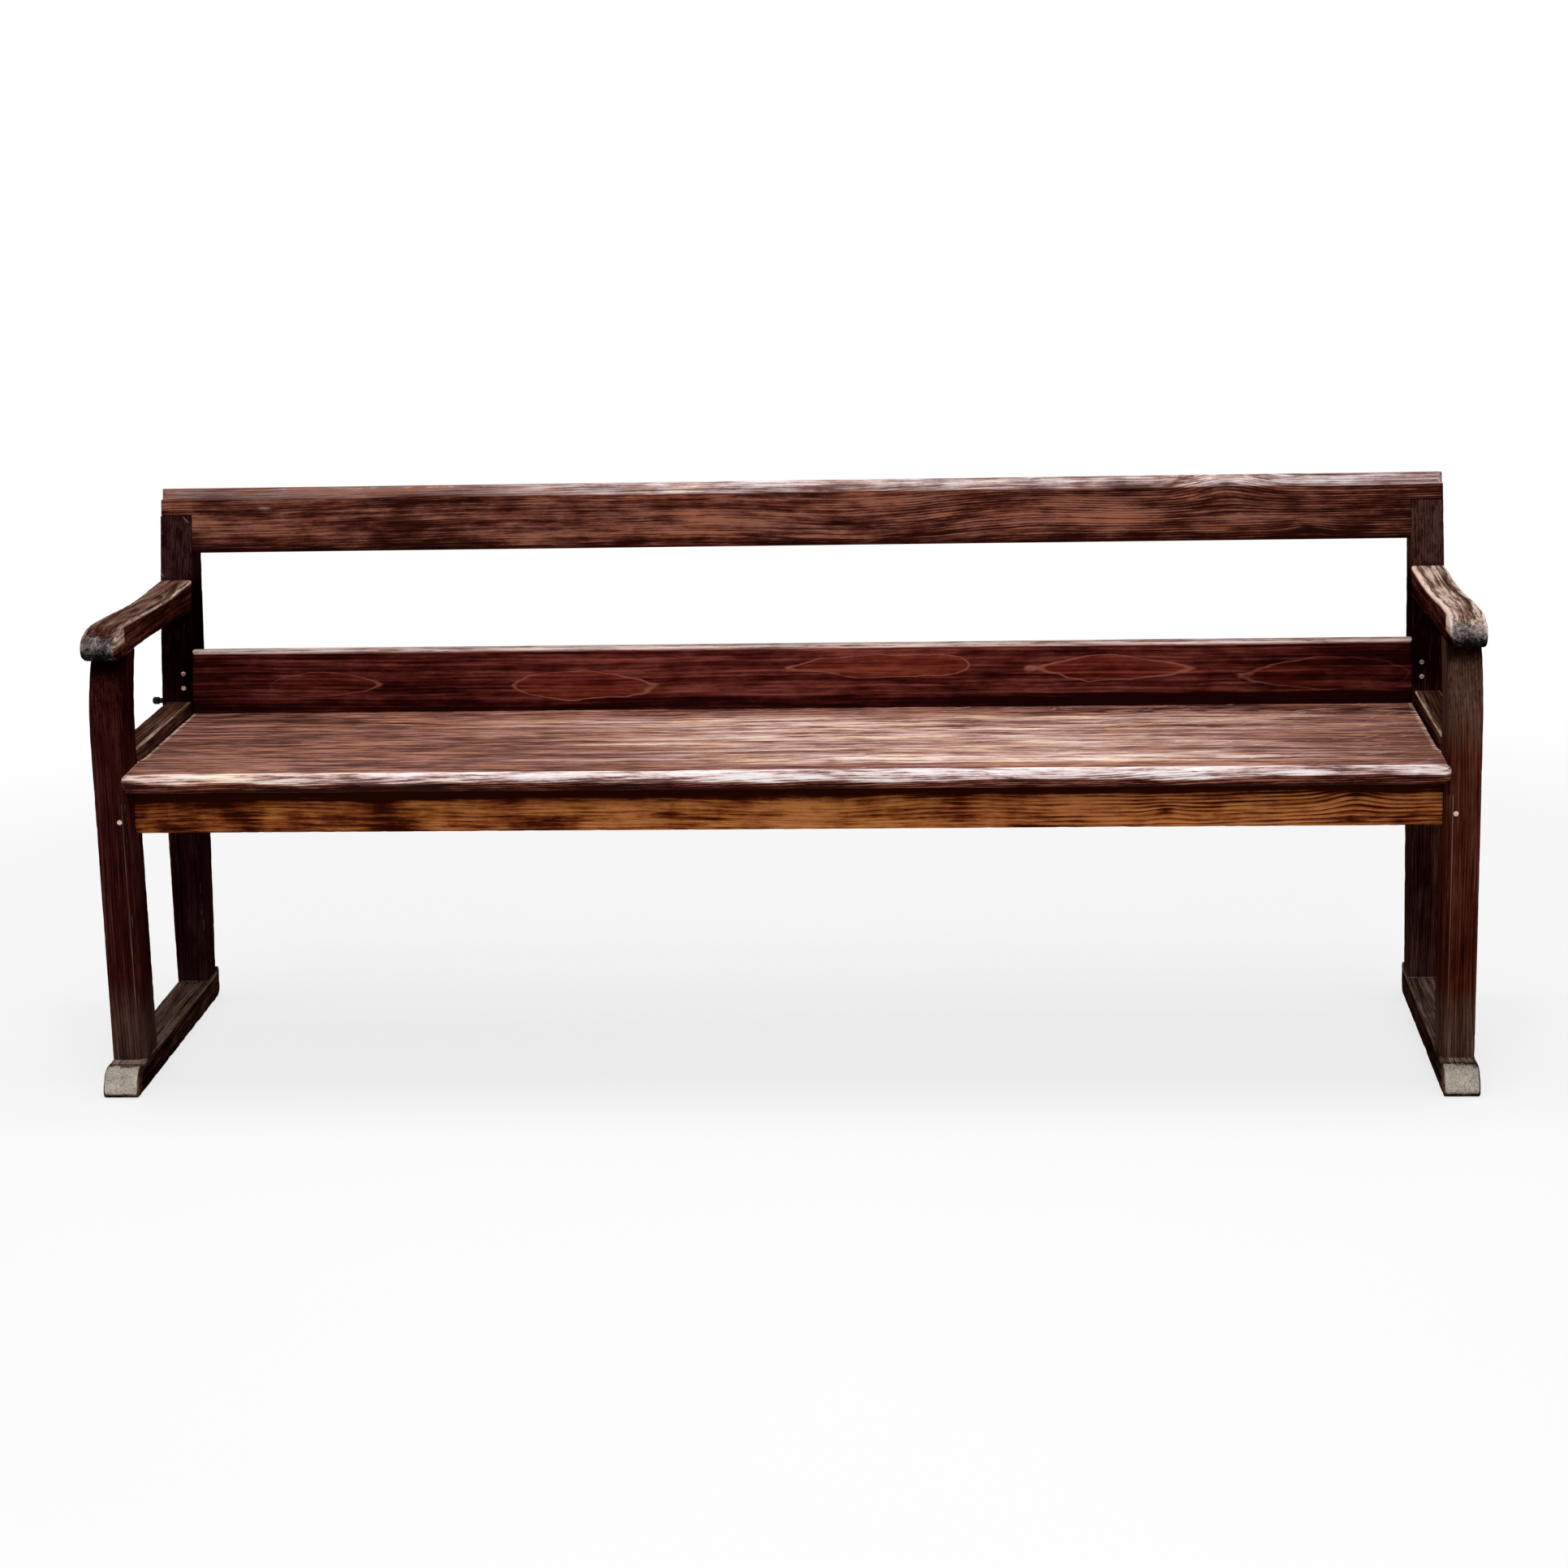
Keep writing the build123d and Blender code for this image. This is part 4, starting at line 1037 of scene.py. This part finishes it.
@dataclass
class SeatDeck:
    """The one-plank seat and the apron below its front edge."""

    half: float = 909
    narrow: float = 902.5
    front: float = -18
    rear: float = 391.2
    taper: Pair = (61, 97)
    nosing: float = 11
    rear_arris: float = 1.6
    corner: float = 14
    apron_half: float = 903
    apron_front: float = 28
    apron_thick: float = 28
    knots: tuple[Pair, ...] = ((528, 23), (784, 43))

    def seat(self) -> Shape:
        """Seat plank: b is the depth below the top, c the depth behind the nosing.

        Its half width falls from the horns to the rear along a smooth step, and the radius of its
        arrises falls from the nosing's to that of a worn edge.

        Returns:
            The marked shape.
        """
        deep = self.rear - self.front
        size = (2 * self.half, LINES.seat_top - LINES.seat_bottom, deep)
        corners = tuple((far, False, self.corner, self.corner) for far in (False, True))
        blank = Blank(size, (6, 2.6, 5), ((), (), tuple(np.arange(12, 34, 3))), corners, True)
        swell = self.nosing - self.rear_arris
        shape = blank.cut(lambda flat: self.rear_arris + swell * smooth(70, 22, flat[:, 2]))
        a, b, c = shape.points.T
        y = self.front + c
        lost = (self.half - self.narrow) * smooth(*self.taper, y)
        x = (a - self.half) * (1 - lost / self.half)
        shape.points = LINES.world(x, y, LINES.seat_top - b)
        Log(4.4, 58, 330, wander=7, stretch=520, ripple=1.2, seed=101).mark(shape)
        ring = shape.marks["ring"]
        flamed = smooth(330, 430, x) * smooth(325, 345, c)
        flame = (x - 560) / 74 - ((c - 366) / 19) ** 2 + ring[flamed > 0.5].mean()
        nosed = smooth(15, 11.5, c)
        torn_lines = b / 3.4 + x / 130 + 3 * (mottle(119, x / 210, b / 14, 0) + 0.5)
        front = smooth(26, 6, c)
        top = smooth(9, 1, b)
        middle = hump(x, 150, np.where(x < 150, 700, 820)) * smooth(405, 320, c) * smooth(26, 56, c)
        streaks = mottle(111, x / 300, c / 10, 0) + 0.5
        wide = mottle(114, x / 420, c / 60, 0)
        # Lighter middle of the seat: rubbed wood with painted sheen.
        rubbed_and_sheen = top * middle * (0.34 + 0.75 * streaks + 0.6 * (wide + 0.1))
        lower = 14 + 7 * mottle(117, x / 75, c / 30, 0) - 3 * smooth(600, 900, np.abs(x))
        # Upper rounding of the nosing, where the painted highlight goes.
        rounding = nosed * smooth(lower + 1.5, lower - 1.5, b)
        ends = smooth(self.half - 10, self.half - 5, np.abs(x) + lost) * top
        amber = hump(c, 32, 12) * top * 0.06
        far = smooth(560, 880, np.abs(x)) * 0.07 + smooth(deep - 40, deep - 10, c) * 0.12
        far = far + smooth(-350, -750, x) * smooth(150, 330, c) * 0.12 - 0.35 * wide * top
        # On the nosing: the rounding term is part of the painted highlight, the last term painted shade on
        # its lower half.
        tone = 0.05 + amber + 0.05 * rounding - far - 0.3 * smooth(15, 22, b) * front
        shape.note(
            ring=np.where(nosed > 0, torn_lines, ring * (1 - flamed) + flame * flamed),
            figure=0.3 * flamed + 0.4 * nosed * smooth(5, 12, b),
            # painted highlight along the nosing, strongest right of the middle
            grey=rounding * (0.22 + 0.78 * hump(x, 350, 850)),
            # island mark here: the lower half of the nosing, darker red with painted shade
            island=smooth(lower - 1, lower + 2.5, b) * front * 0.75,
            calm=1 - top * smooth(14, 20, c) * (0.1 + 0.9 * smooth(-420, 60, x)),
            bare=np.clip(np.max([rubbed_and_sheen, 0.75 * ends, rounding], axis=0), 0, 1),
            tone=tone - 0.25 * (1 - top) * (1 - front),
            arris=shape.marks["arris"] * smooth(10, 4, b) * smooth(4, 12, c),
        )
        return shape.weather(0.35, 1.1, 121)

    def apron(self) -> Shape:
        """Apron board between the front posts.

        Returns:
            The marked shape.
        """
        half = self.apron_half
        high = LINES.seat_bottom - LINES.apron_bottom
        shape = Blank((2 * half, self.apron_thick, high), (6, 4, 3.2)).cut(2.2)
        a, b, c = shape.points.T
        x = a - half
        shape.points = LINES.world(x, self.apron_front + b, LINES.apron_bottom + c)
        places = ((528, 23, 26, 15, -4), (784, 43, 38, 30, -9), (690, 30, 70, 40, 3))
        swirls = tuple(Swirl(at + half, *rest) for at, *rest in places)
        Log(5.4, 30, -60, stretch=330, slope=0.006, ripple=0.7, seed=131, swirls=swirls).mark(shape)
        slant = x + 0.9 * (c - 33)
        tone = 0.6 * mottle(141, slant / 55, c / 38, 0) * smooth(460, 100, x)
        tone = tone + 0.6 * mottle(144, slant / 190, c / 90, 0)
        tone = tone - 0.3 * hump(slant, -765, 26) - 0.34 * hump(slant, -557, 36)
        tone = tone - 0.23 * smooth(-380, -700, x) + 0.22 * hump(x, 16, 15) * smooth(0, 30, c)
        tone = tone + 0.12 + 0.2 * smooth(180, 480, x)
        tone = tone + spots(x, c, *((*knot, 9, 6, -0.6) for knot in self.knots), (-158, 35, 3, 3, 0.5))
        front = smooth(8, 2, b)
        shape.note(
            figure=0.08 + 0.4 * smooth(180, 480, x),
            # painted shadow of the seat's nosing along the apron's top; darker also away from its front face
            tone=tone - 1.1 * smooth(high - 25, high - 12, c) - 0.3 * (1 - front),
            bare=0.3 * smooth(3.4, 1, c) * front,
            arris=shape.marks["arris"] * smooth(high - 4, high - 12, c) * front,
        )
        return shape.weather(0.3, 1, 151)

    def build(self, wood: dict[str, Material]) -> None:
        """Make and dress both boards with the finishes given by name."""
        write_piece("worn_seat_board", self.seat(), wood["seat"], ("seat_board",))
        write_piece("worn_front_apron", self.apron(), wood["apron"], ("front_apron",))


@dataclass(frozen=True)
class Island:
    """Long oval in flat-sawn wood, pointed more at one end than the other."""

    left: float
    right: float
    low: float
    high: float
    ends: Pair = (1.4, 1.4)  # powers at the left and right end; more is blunter

    def depth(self, x: Array, z: Array) -> Array:
        """1 at the middle, 0 on the outline: 1 - |u|^power - |v|^1.7 in shares of the half sizes.

        Args:
            x: Distance along the board.
            z: Height.

        Returns:
            The depth at each place.
        """
        u = (x - (self.left + self.right) / 2) / ((self.right - self.left) / 2)
        v = (z - (self.low + self.high) / 2) / ((self.high - self.low) / 2)
        return 1 - np.abs(u) ** np.where(u < 0, *self.ends) - np.abs(v) ** 1.7


@dataclass
class Back:
    """Low back board and raked top rail."""

    board_half: float = 903
    board_top: float = 545
    board_thick: float = 28.2
    board_round: Pair = (1.2, 7)  # radius of the lower and of the upper arrises
    rail_wide: float = 96
    rail_thick: float = 30
    rail_lap: float = 42
    rail_foot: float = 690.27
    rail_shoulder: float = 902.7
    rail_crown: float = 16  # height of the part that no shoulder reaches
    rail_round: Triple = (2.2, 14, 9)  # lower arrises, crown's front and rear
    islands: tuple[Island, ...] = (
        Island(-789, -621, 476, 511, (2.2, 1.2)),
        Island(-420, -210, 468, 510, (1.9, 1.5)),
        Island(-17, 259, 497, 530, (1.2, 4)),
        Island(344, 581, 489, 525, (1.3, 1.25)),
        Island(656, 897, 474, 520, (1.3, 2.6)),
    )

    def low_board(self) -> Shape:
        """Low back board, sheared back with its height; its islands are marked on the mesh.

        Returns:
            The marked shape.
        """
        high = self.board_top - LINES.seat_bottom
        sharp, blunt = self.board_round
        blank = Blank((2 * self.board_half, self.board_thick, high), (5, 4, 2.4))
        shape = blank.cut(lambda flat: sharp + (blunt - sharp) * smooth(80, 100, flat[:, 2]))
        a, b, c = shape.points.T
        x, z = a - self.board_half, LINES.seat_bottom + c
        shape.points = LINES.world(x, LINES.board_face(z) + b, z)
        Log(5.2, 60, -70, wander=2.5, stretch=600, ripple=1, ripple_reach=160, seed=161).mark(shape)
        inside = np.max([island.depth(x, z) for island in self.islands], axis=0)
        inside = inside + mottle(171, x / 48, z / 18, 0) * 0.75
        face = smooth(6, 2, b)
        faint = 0.3 * smooth(600, 660, x) + 0.6 * smooth(700, 840, x) + 0.3 * smooth(-560, -640, x)
        crown = smooth(high - 8, high - 2, c)
        level = c - 12 * (mottle(181, x / 240, 0, 0) + 0.5)
        ends = 0.32 * smooth(540, 800, x) + 0.2 * smooth(-800, -890, x)
        shape.note(
            island=np.where(face > 0, np.clip(inside + 0.5, 0, None), 0),
            faint=faint + 0.5 * smooth(-700, -790, x),
            # pale top edge: wear with a painted highlight
            bare=0.82 * crown,
            tone=hump(level, 43, 2.2) * 0.2 - 0.42 * smooth(42, 33, level) - ends * (1 - crown),
            figure=0.06 * face,
            arris=shape.marks["arris"] * crown,
        )
        return shape.weather(0.3, 1.2, 191)

    def top_rail(self) -> Shape:
        """Raked rail: c runs up its face, and its lower edge steps up past the shoulders.

        Returns:
            The marked shape.
        """
        half, wide = LINES.half_length, self.rail_wide
        near = half - self.rail_shoulder
        steps = tuple(at + side for at in (near, 2 * half - near) for side in (-JUMP, JUMP))
        sharp, front_round, rear_round = self.rail_round

        def radius(flat: Array) -> Array:
            """Radius of the arrises at flat places, larger along the crown."""
            broad = np.where(flat[:, 1] < self.rail_thick / 2, front_round, rear_round)
            return sharp + (broad - sharp) * smooth(70, 82, flat[:, 2])

        extra = (steps, (), tuple(np.arange(70, 86, 2)))
        shape = Blank((2 * half, self.rail_thick, wide), (5.5, 3, 2.8), extra, (), True).cut(radius)
        a, b, c = shape.points.T
        x = a - half
        foot = np.where(np.abs(x) > self.rail_shoulder, wide - self.rail_lap, 0)
        level = wide - self.rail_crown
        up = np.where(c > level, c, foot + c / level * (level - foot))
        front = LINES.rear_face(self.rail_foot) + LINES.behind / cos(LINES.rake)
        y = front + b * cos(LINES.rake) + up * sin(LINES.rake)
        z = self.rail_foot - b * sin(LINES.rake) + up * cos(LINES.rake)
        shape.points = LINES.world(x, y, z)
        places = (
            (636, 84, 62, 34, -17),
            (752, 16, 34, 12, -6),
            (120, 20, 150, 30, 5),
            (330, 50, 110, 40, -7),
        )
        swirls = tuple(Swirl(at + half, *rest) for at, *rest in places)
        wood = Log(3.4, 40, -90, wander=4, stretch=520, slope=0.008, ripple=0.5, seed=201, swirls=swirls)
        wood.mark(shape, np.stack([shape.flat[:, 0], shape.flat[:, 1], up], axis=-1))
        edge = 3 * (mottle(221, x / 90, 0, 0) + 0.5)
        # Crown: the rounded top edge, pale from wear and a painted sheen, stronger to the right.
        crown = smooth(75, 80, up + edge) * smooth(30, 20, b)
        patch = spots(x, up, (-793, 63, 18, 4.5, 1)) * smooth(6, 1, b)
        crown_wear_and_sheen = 0.5 + 0.42 * smooth(-560, -180, x) - 0.14 * smooth(780, 930, x)
        tone = -0.3 * smooth(20, 2, up) - 0.13 * smooth(600, 860, x) * (1 - crown)
        tone = tone + 0.55 * mottle(231, x / 95, up / 26, 0) * (1 - crown)
        tone = tone + 0.1 * smooth(-450, -700, x) * crown
        stains = (
            (-600, 50, 34, 30, -0.16),
            (-900, 72, 70, 12, -0.3),
            (-560, 70, 60, 7, -0.26),
            (636, 80, 10, 5, -0.5),
            (752, 17, 12, 4, -0.35),
        )
        shape.note(
            figure=(0.28 * smooth(-150, 450, x) - 0.04) * (1 - 0.85 * crown),
            bare=np.clip(crown_wear_and_sheen * crown + 0.62 * patch, 0, 1),
            tone=tone + spots(x, up, *stains) - 0.25 * smooth(16, 26, b),
            arris=shape.marks["arris"] * smooth(30, 70, up),
        )
        return shape.weather(0.35, 1.2, 211)

    def build(self, wood: dict[str, Material]) -> None:
        """Make and dress both boards with the finishes given by name."""
        board = ("lower_back_board",)
        write_piece("worn_lower_back_board", self.low_board(), wood["back"], board)
        write_piece("worn_top_rail", self.top_rail(), wood["rail"], ("top_rail",))


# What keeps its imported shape


@dataclass
class KeptSolids:
    """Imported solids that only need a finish."""

    inner: tuple[str, ...] = ("rear_seat_rail",)
    cross: tuple[str, ...] = ("left_seat_cleat", "right_seat_cleat", "left_seat_bearer", "right_seat_bearer")
    pegged: tuple[str, ...] = ("apron", "back", "foot", "seat", "bearer", "cleat", "top_rail")
    iron: tuple[str, ...] = ("left_back_bolt", "right_back_bolt", "left_bolt_nut", "right_bolt_nut")

    def build(self, wood: dict[str, Material]) -> None:
        """Give each solid its finish.

        Args:
            wood: Finishes by name.
        """
        pegs = tuple(f"{joint}_pegs" for joint in self.pegged)
        works = {"inner": self.inner, "cross": self.cross, "peg": pegs, "iron": self.iron}
        for finish, nodes in works.items():
            for node in nodes:
                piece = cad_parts[node]
                piece.data.materials.clear()
                piece.data.materials.append(wood[finish])
            log.info("%s: %d solids", finish, len(nodes))


# Studio


@dataclass
class Studio:
    """Camera of the photograph, pale floor, white background and soft lamps."""

    eye: Triple = (0.3175, -4.6037, 1.4797)
    yaw: float = -0.0705
    pitch: float = 0.2345
    roll: float = -0.0238
    focal: float = 4070.25  # pixels of a frame 1932 wide
    frame_wide: float = 1932
    sensor: float = 36
    ambient: float = 0.4
    floor_rim: Pair = (1.5, 2.6)  # where the floor starts to fade and ends
    floor_white: float = 0.72  # share of plain white that the eye sees in the floor
    lamp_aim: Triple = (0, 0, 0.4)

    def camera(self) -> None:
        """Camera whose axes are worked out from its yaw, pitch and roll."""
        ahead = Vector((sin(self.yaw) * cos(self.pitch), cos(self.yaw) * cos(self.pitch), -sin(self.pitch)))
        level = Vector((cos(self.yaw), -sin(self.yaw), 0))
        upright = level.cross(ahead)
        right = cos(self.roll) * level + sin(self.roll) * upright
        up = -sin(self.roll) * level + cos(self.roll) * upright
        data = bpy.data.cameras.new("view")
        data.sensor_width = self.sensor
        data.lens = self.focal * self.sensor / self.frame_wide
        data.clip_end = 60
        eye = add_object("view", data)
        turn = Matrix((right, up, -ahead)).transposed().to_4x4()
        eye.matrix_world = Matrix.Translation(Vector(self.eye)) @ turn
        bpy.context.scene.camera = eye

    def white_share(self, g: Graph) -> Wire:
        """Tell the rays that show the background itself, as seen or as mirrored.

        Args:
            g: Tree to write in.

        Returns:
            1 for these rays, 0 for the others.
        """
        outs = ("Is Camera Ray", "Is Glossy Ray", "Is Transmission Ray")
        camera, glossy, through = [g.add("ShaderNodeLightPath", out=out) for out in outs]
        return g.math("MINIMUM", camera + glossy + through, 1)

    def world(self) -> None:
        """White to the eye, and a plainer level to the object."""
        world = bpy.data.worlds.new("room")
        bpy.context.scene.world = world
        g = Graph(world)
        level = self.ambient + self.white_share(g) * (1 - self.ambient)
        light = g.add("ShaderNodeBackground", {}, {"Color": (1, 1, 1), "Strength": level})
        g.add("ShaderNodeOutputWorld", {}, {"Surface": light})

    def floor(self) -> None:
        """Pale floor that keeps the bench's shadow."""
        material = bpy.data.materials.new("pale_floor")
        g = Graph(material)
        patches = g.noise(g.along(g.place(), Grain.LENGTH, 3, 3, 0), 2)
        spread = g.add("ShaderNodeVectorMath", {"operation": "LENGTH"}, {0: g.place()}, out="Value")
        lit = g.surface(g.blend(patches, (0.93, 0.93, 0.93), (0.95, 0.95, 0.95)), 0.9, 0)
        white = g.add("ShaderNodeEmission", {}, {"Color": (1, 1, 1), "Strength": 1})
        clear = g.add("ShaderNodeBsdfTransparent")
        share = self.white_share(g) * self.floor_white
        seen = g.add("ShaderNodeMixShader", {}, {0: share, 1: lit, 2: white})
        shader = g.add("ShaderNodeMixShader", {}, {0: g.rise(spread, *self.floor_rim), 1: seen, 2: clear})
        g.add("ShaderNodeOutputMaterial", {}, {"Surface": shader})
        mesh = bpy.data.meshes.new("floor")
        edge = self.floor_rim[1]
        corners = ((-edge, -edge, 0), (edge, -edge, 0), (edge, edge, 0), (-edge, edge, 0))
        mesh.from_pydata(corners, [], [range(4)])
        mesh.materials.append(material)
        add_object("floor", mesh)

    def lamp(self, name: str, size: Pair, power: float, place: Triple) -> None:
        """Soft rectangular lamp that faces the bench.

        Args:
            name: Its name.
            size: Width and height.
            power: Watts.
            place: Where it hangs.
        """
        data = bpy.data.lights.new(name, "AREA")
        data.shape = "RECTANGLE"
        data.size, data.size_y = size
        data.energy = power
        lamp = add_object(name, data)
        lamp.location = place
        lamp.rotation_euler = (Vector(self.lamp_aim) - Vector(place)).to_track_quat("-Z", "Y").to_euler()

    def build(self) -> None:
        """Set up the whole studio."""
        bpy.context.scene.view_settings.view_transform = "Standard"
        self.camera()
        self.world()
        self.floor()
        self.lamp("sky", (3.6, 1.5), 46, (0, 0.2, 3))
        self.lamp("front", (2.6, 1.4), 62, (0.3, -3.4, 3))


def finishes() -> dict[str, Material]:
    """Write every finish of the bench.

    Returns:
        Materials by the name that the pieces ask for.
    """
    length, depth, height = Grain
    post = StainedPine(
        "left_post_pine", height, length,
        stained=tones(14, 1.5, 1.5, 34, 6.5, 5.5, 62, 20, 18),
        worn_and_sheen=tones(60, 25, 20, 200, 120, 100, 500, 380, 330),
        aged_and_highlight=tones(22, 6, 5, 62, 30, 22, 130, 76, 60),
        fibres=1.5, streaks=1, speckle=0.25, arris_wear=0.5,
    )
    right_post = replace(
        post, name="right_post_pine", shift=3.1,
        stained=tones(20, 2.8, 1.6, 50, 10.5, 5.6, 90, 29, 17),
        aged_and_highlight=tones(36, 14, 9, 82, 43, 30, 140, 80, 60),
    )
    foot = StainedPine(
        "foot_pine", depth, height,
        stained=tones(12, 3, 2.5, 45, 19, 14, 100, 55, 43),
        worn_and_sheen=tones(40, 18, 13, 125, 75, 58, 300, 215, 190),
        aged_and_highlight=tones(170, 140, 115, 420, 370, 310, 660, 590, 510),
        roughness=0.7,
    )
    arm = StainedPine(
        "arm_pine", depth, height,
        stained=tones(13, 2, 1.5, 50, 11, 8, 120, 42, 30),
        worn_and_sheen=tones(45, 18, 12, 150, 82, 58, 620, 480, 410),
        aged_and_highlight=tones(12, 8, 8, 140, 115, 110, 480, 420, 390),
        speckle=0.6, arris_wear=0.8, relief=0.35,
    )
    seat = StainedPine(
        "seat_pine", length, depth,
        stained=tones(100, 36, 28, 205, 81, 60, 370, 170, 130),
        # worn tones here: rubbed wood with painted sheen, and the nosing's painted highlight
        worn_and_sheen=tones(250, 100, 80, 530, 310, 270, 900, 640, 570),
        # aged tones here: the painted highlight along the nosing
        aged_and_highlight=tones(340, 180, 165, 710, 540, 520, 920, 810, 810),
        # island tones here: the lower half of the nosing, darker red with painted shade
        island=tones(30, 4, 3, 105, 22, 16, 200, 75, 55), island_line=(0.2, 0.075, 0.055),
        cast=(1.06, 1.02, 0.84), fibres=3.2, streaks=2.7, blotches=1, fibre_size=(13, 170),
        streak_size=(4.5, 64), scratches=0.8, scratch_turn=28, speckle=0, roughness=0.45,
        gloss=0.01, relief=0.4,
    )
    inner = StainedPine(
        "inner_pine", length, height,
        stained=tones(20, 5, 3.5, 65, 21, 14, 135, 60, 42),
        worn_and_sheen=tones(60, 25, 18, 200, 120, 90, 450, 330, 270),
        aged_and_highlight=tones(50, 20, 10, 200, 100, 60, 400, 250, 180),
    )
    apron = replace(
        inner, name="apron_pine",
        stained=tones(62, 9, 3.5, 215, 52, 13, 360, 125, 41),
        worn_and_sheen=tones(200, 80, 40, 450, 250, 170, 700, 500, 400),
        cast=(1.06, 1.15, 0.95), rings=0.05, fibres=2.2, streaks=1, clouds=0.9, blotches=1.2,
        blotch_size=(13, 12), fibre_size=(14, 340), arris_wear=0.4,
    )
    back = StainedPine(
        "back_pine", length, height,
        stained=tones(34, 4, 4, 90, 15.5, 12.5, 190, 46, 36),
        # worn tones here colour the top edge: wear with a painted highlight
        worn_and_sheen=tones(200, 100, 90, 550, 400, 370, 840, 700, 670),
        aged_and_highlight=tones(100, 40, 30, 300, 200, 170, 500, 400, 350),
        rings=0.1, fibres=1.6, streaks=1.7, clouds=1,
    )
    rail = replace(
        back, name="rail_pine",
        stained=tones(42, 9, 6.5, 105, 31, 21, 220, 85, 56),
        # worn tones here colour the crown: wear with a painted sheen
        worn_and_sheen=tones(240, 130, 120, 450, 330, 320, 700, 610, 620),
        cast=(1.16, 1.06, 0.95), rings=0.16, fibres=2.9, streaks=1.5, clouds=1.4, blotches=1.1,
        fibre_size=(9, 360),
    )
    # Rear posts: darker copies of the front posts' finishes, which paint in the seat's shade on them.
    rear_right = tones(11, 2, 1.5, 32, 10, 8, 66, 31, 26)
    side_stained = tones(18, 5, 4, 55, 18, 13, 120, 55, 40)
    side_worn = tones(50, 22, 14, 160, 92, 60, 480, 350, 270)
    rear_left = replace(
        post, name="left_rear_pine", stained=tones(7, 1, 1, 18, 4, 4, 38, 15, 15),
        scratches=0.5, scratch_turn=-40, shift=7.7,
    )
    woods = {
        "foot": foot,
        "left_post": post,
        "right_post": right_post,
        "left_rear": rear_left,
        "right_rear": replace(right_post, name="right_rear_pine", stained=rear_right, shift=9.3),
        "arm": arm,
        "side_rail": replace(arm, name="side_rail_pine", stained=side_stained, worn_and_sheen=side_worn, shift=2.2),
        "seat": seat,
        "apron": apron,
        "back": back,
        "rail": rail,
        "inner": inner,
        "cross": replace(inner, name="cross_pine", grain=depth, shift=5),
        "peg": replace(inner, name="peg_wood", stained=tones(250, 130, 100, 500, 360, 310, 720, 580, 520)),
    }
    made = {name: wood.build() for name, wood in woods.items()}
    made["iron"] = BlackIron("black_iron").build()
    return made


def main() -> None:
    """Build the studio and the bench, piece by piece."""
    logging.basicConfig(level=logging.INFO, format="%(message)s")
    Studio().build()
    made = finishes()
    for hand in Hand:
        EndFrame(hand).build(made)
    SeatDeck().build(made)
    Back().build(made)
    KeptSolids().build(made)
    bpy.context.view_layer.update()


if __name__ == "__main__":
    main()
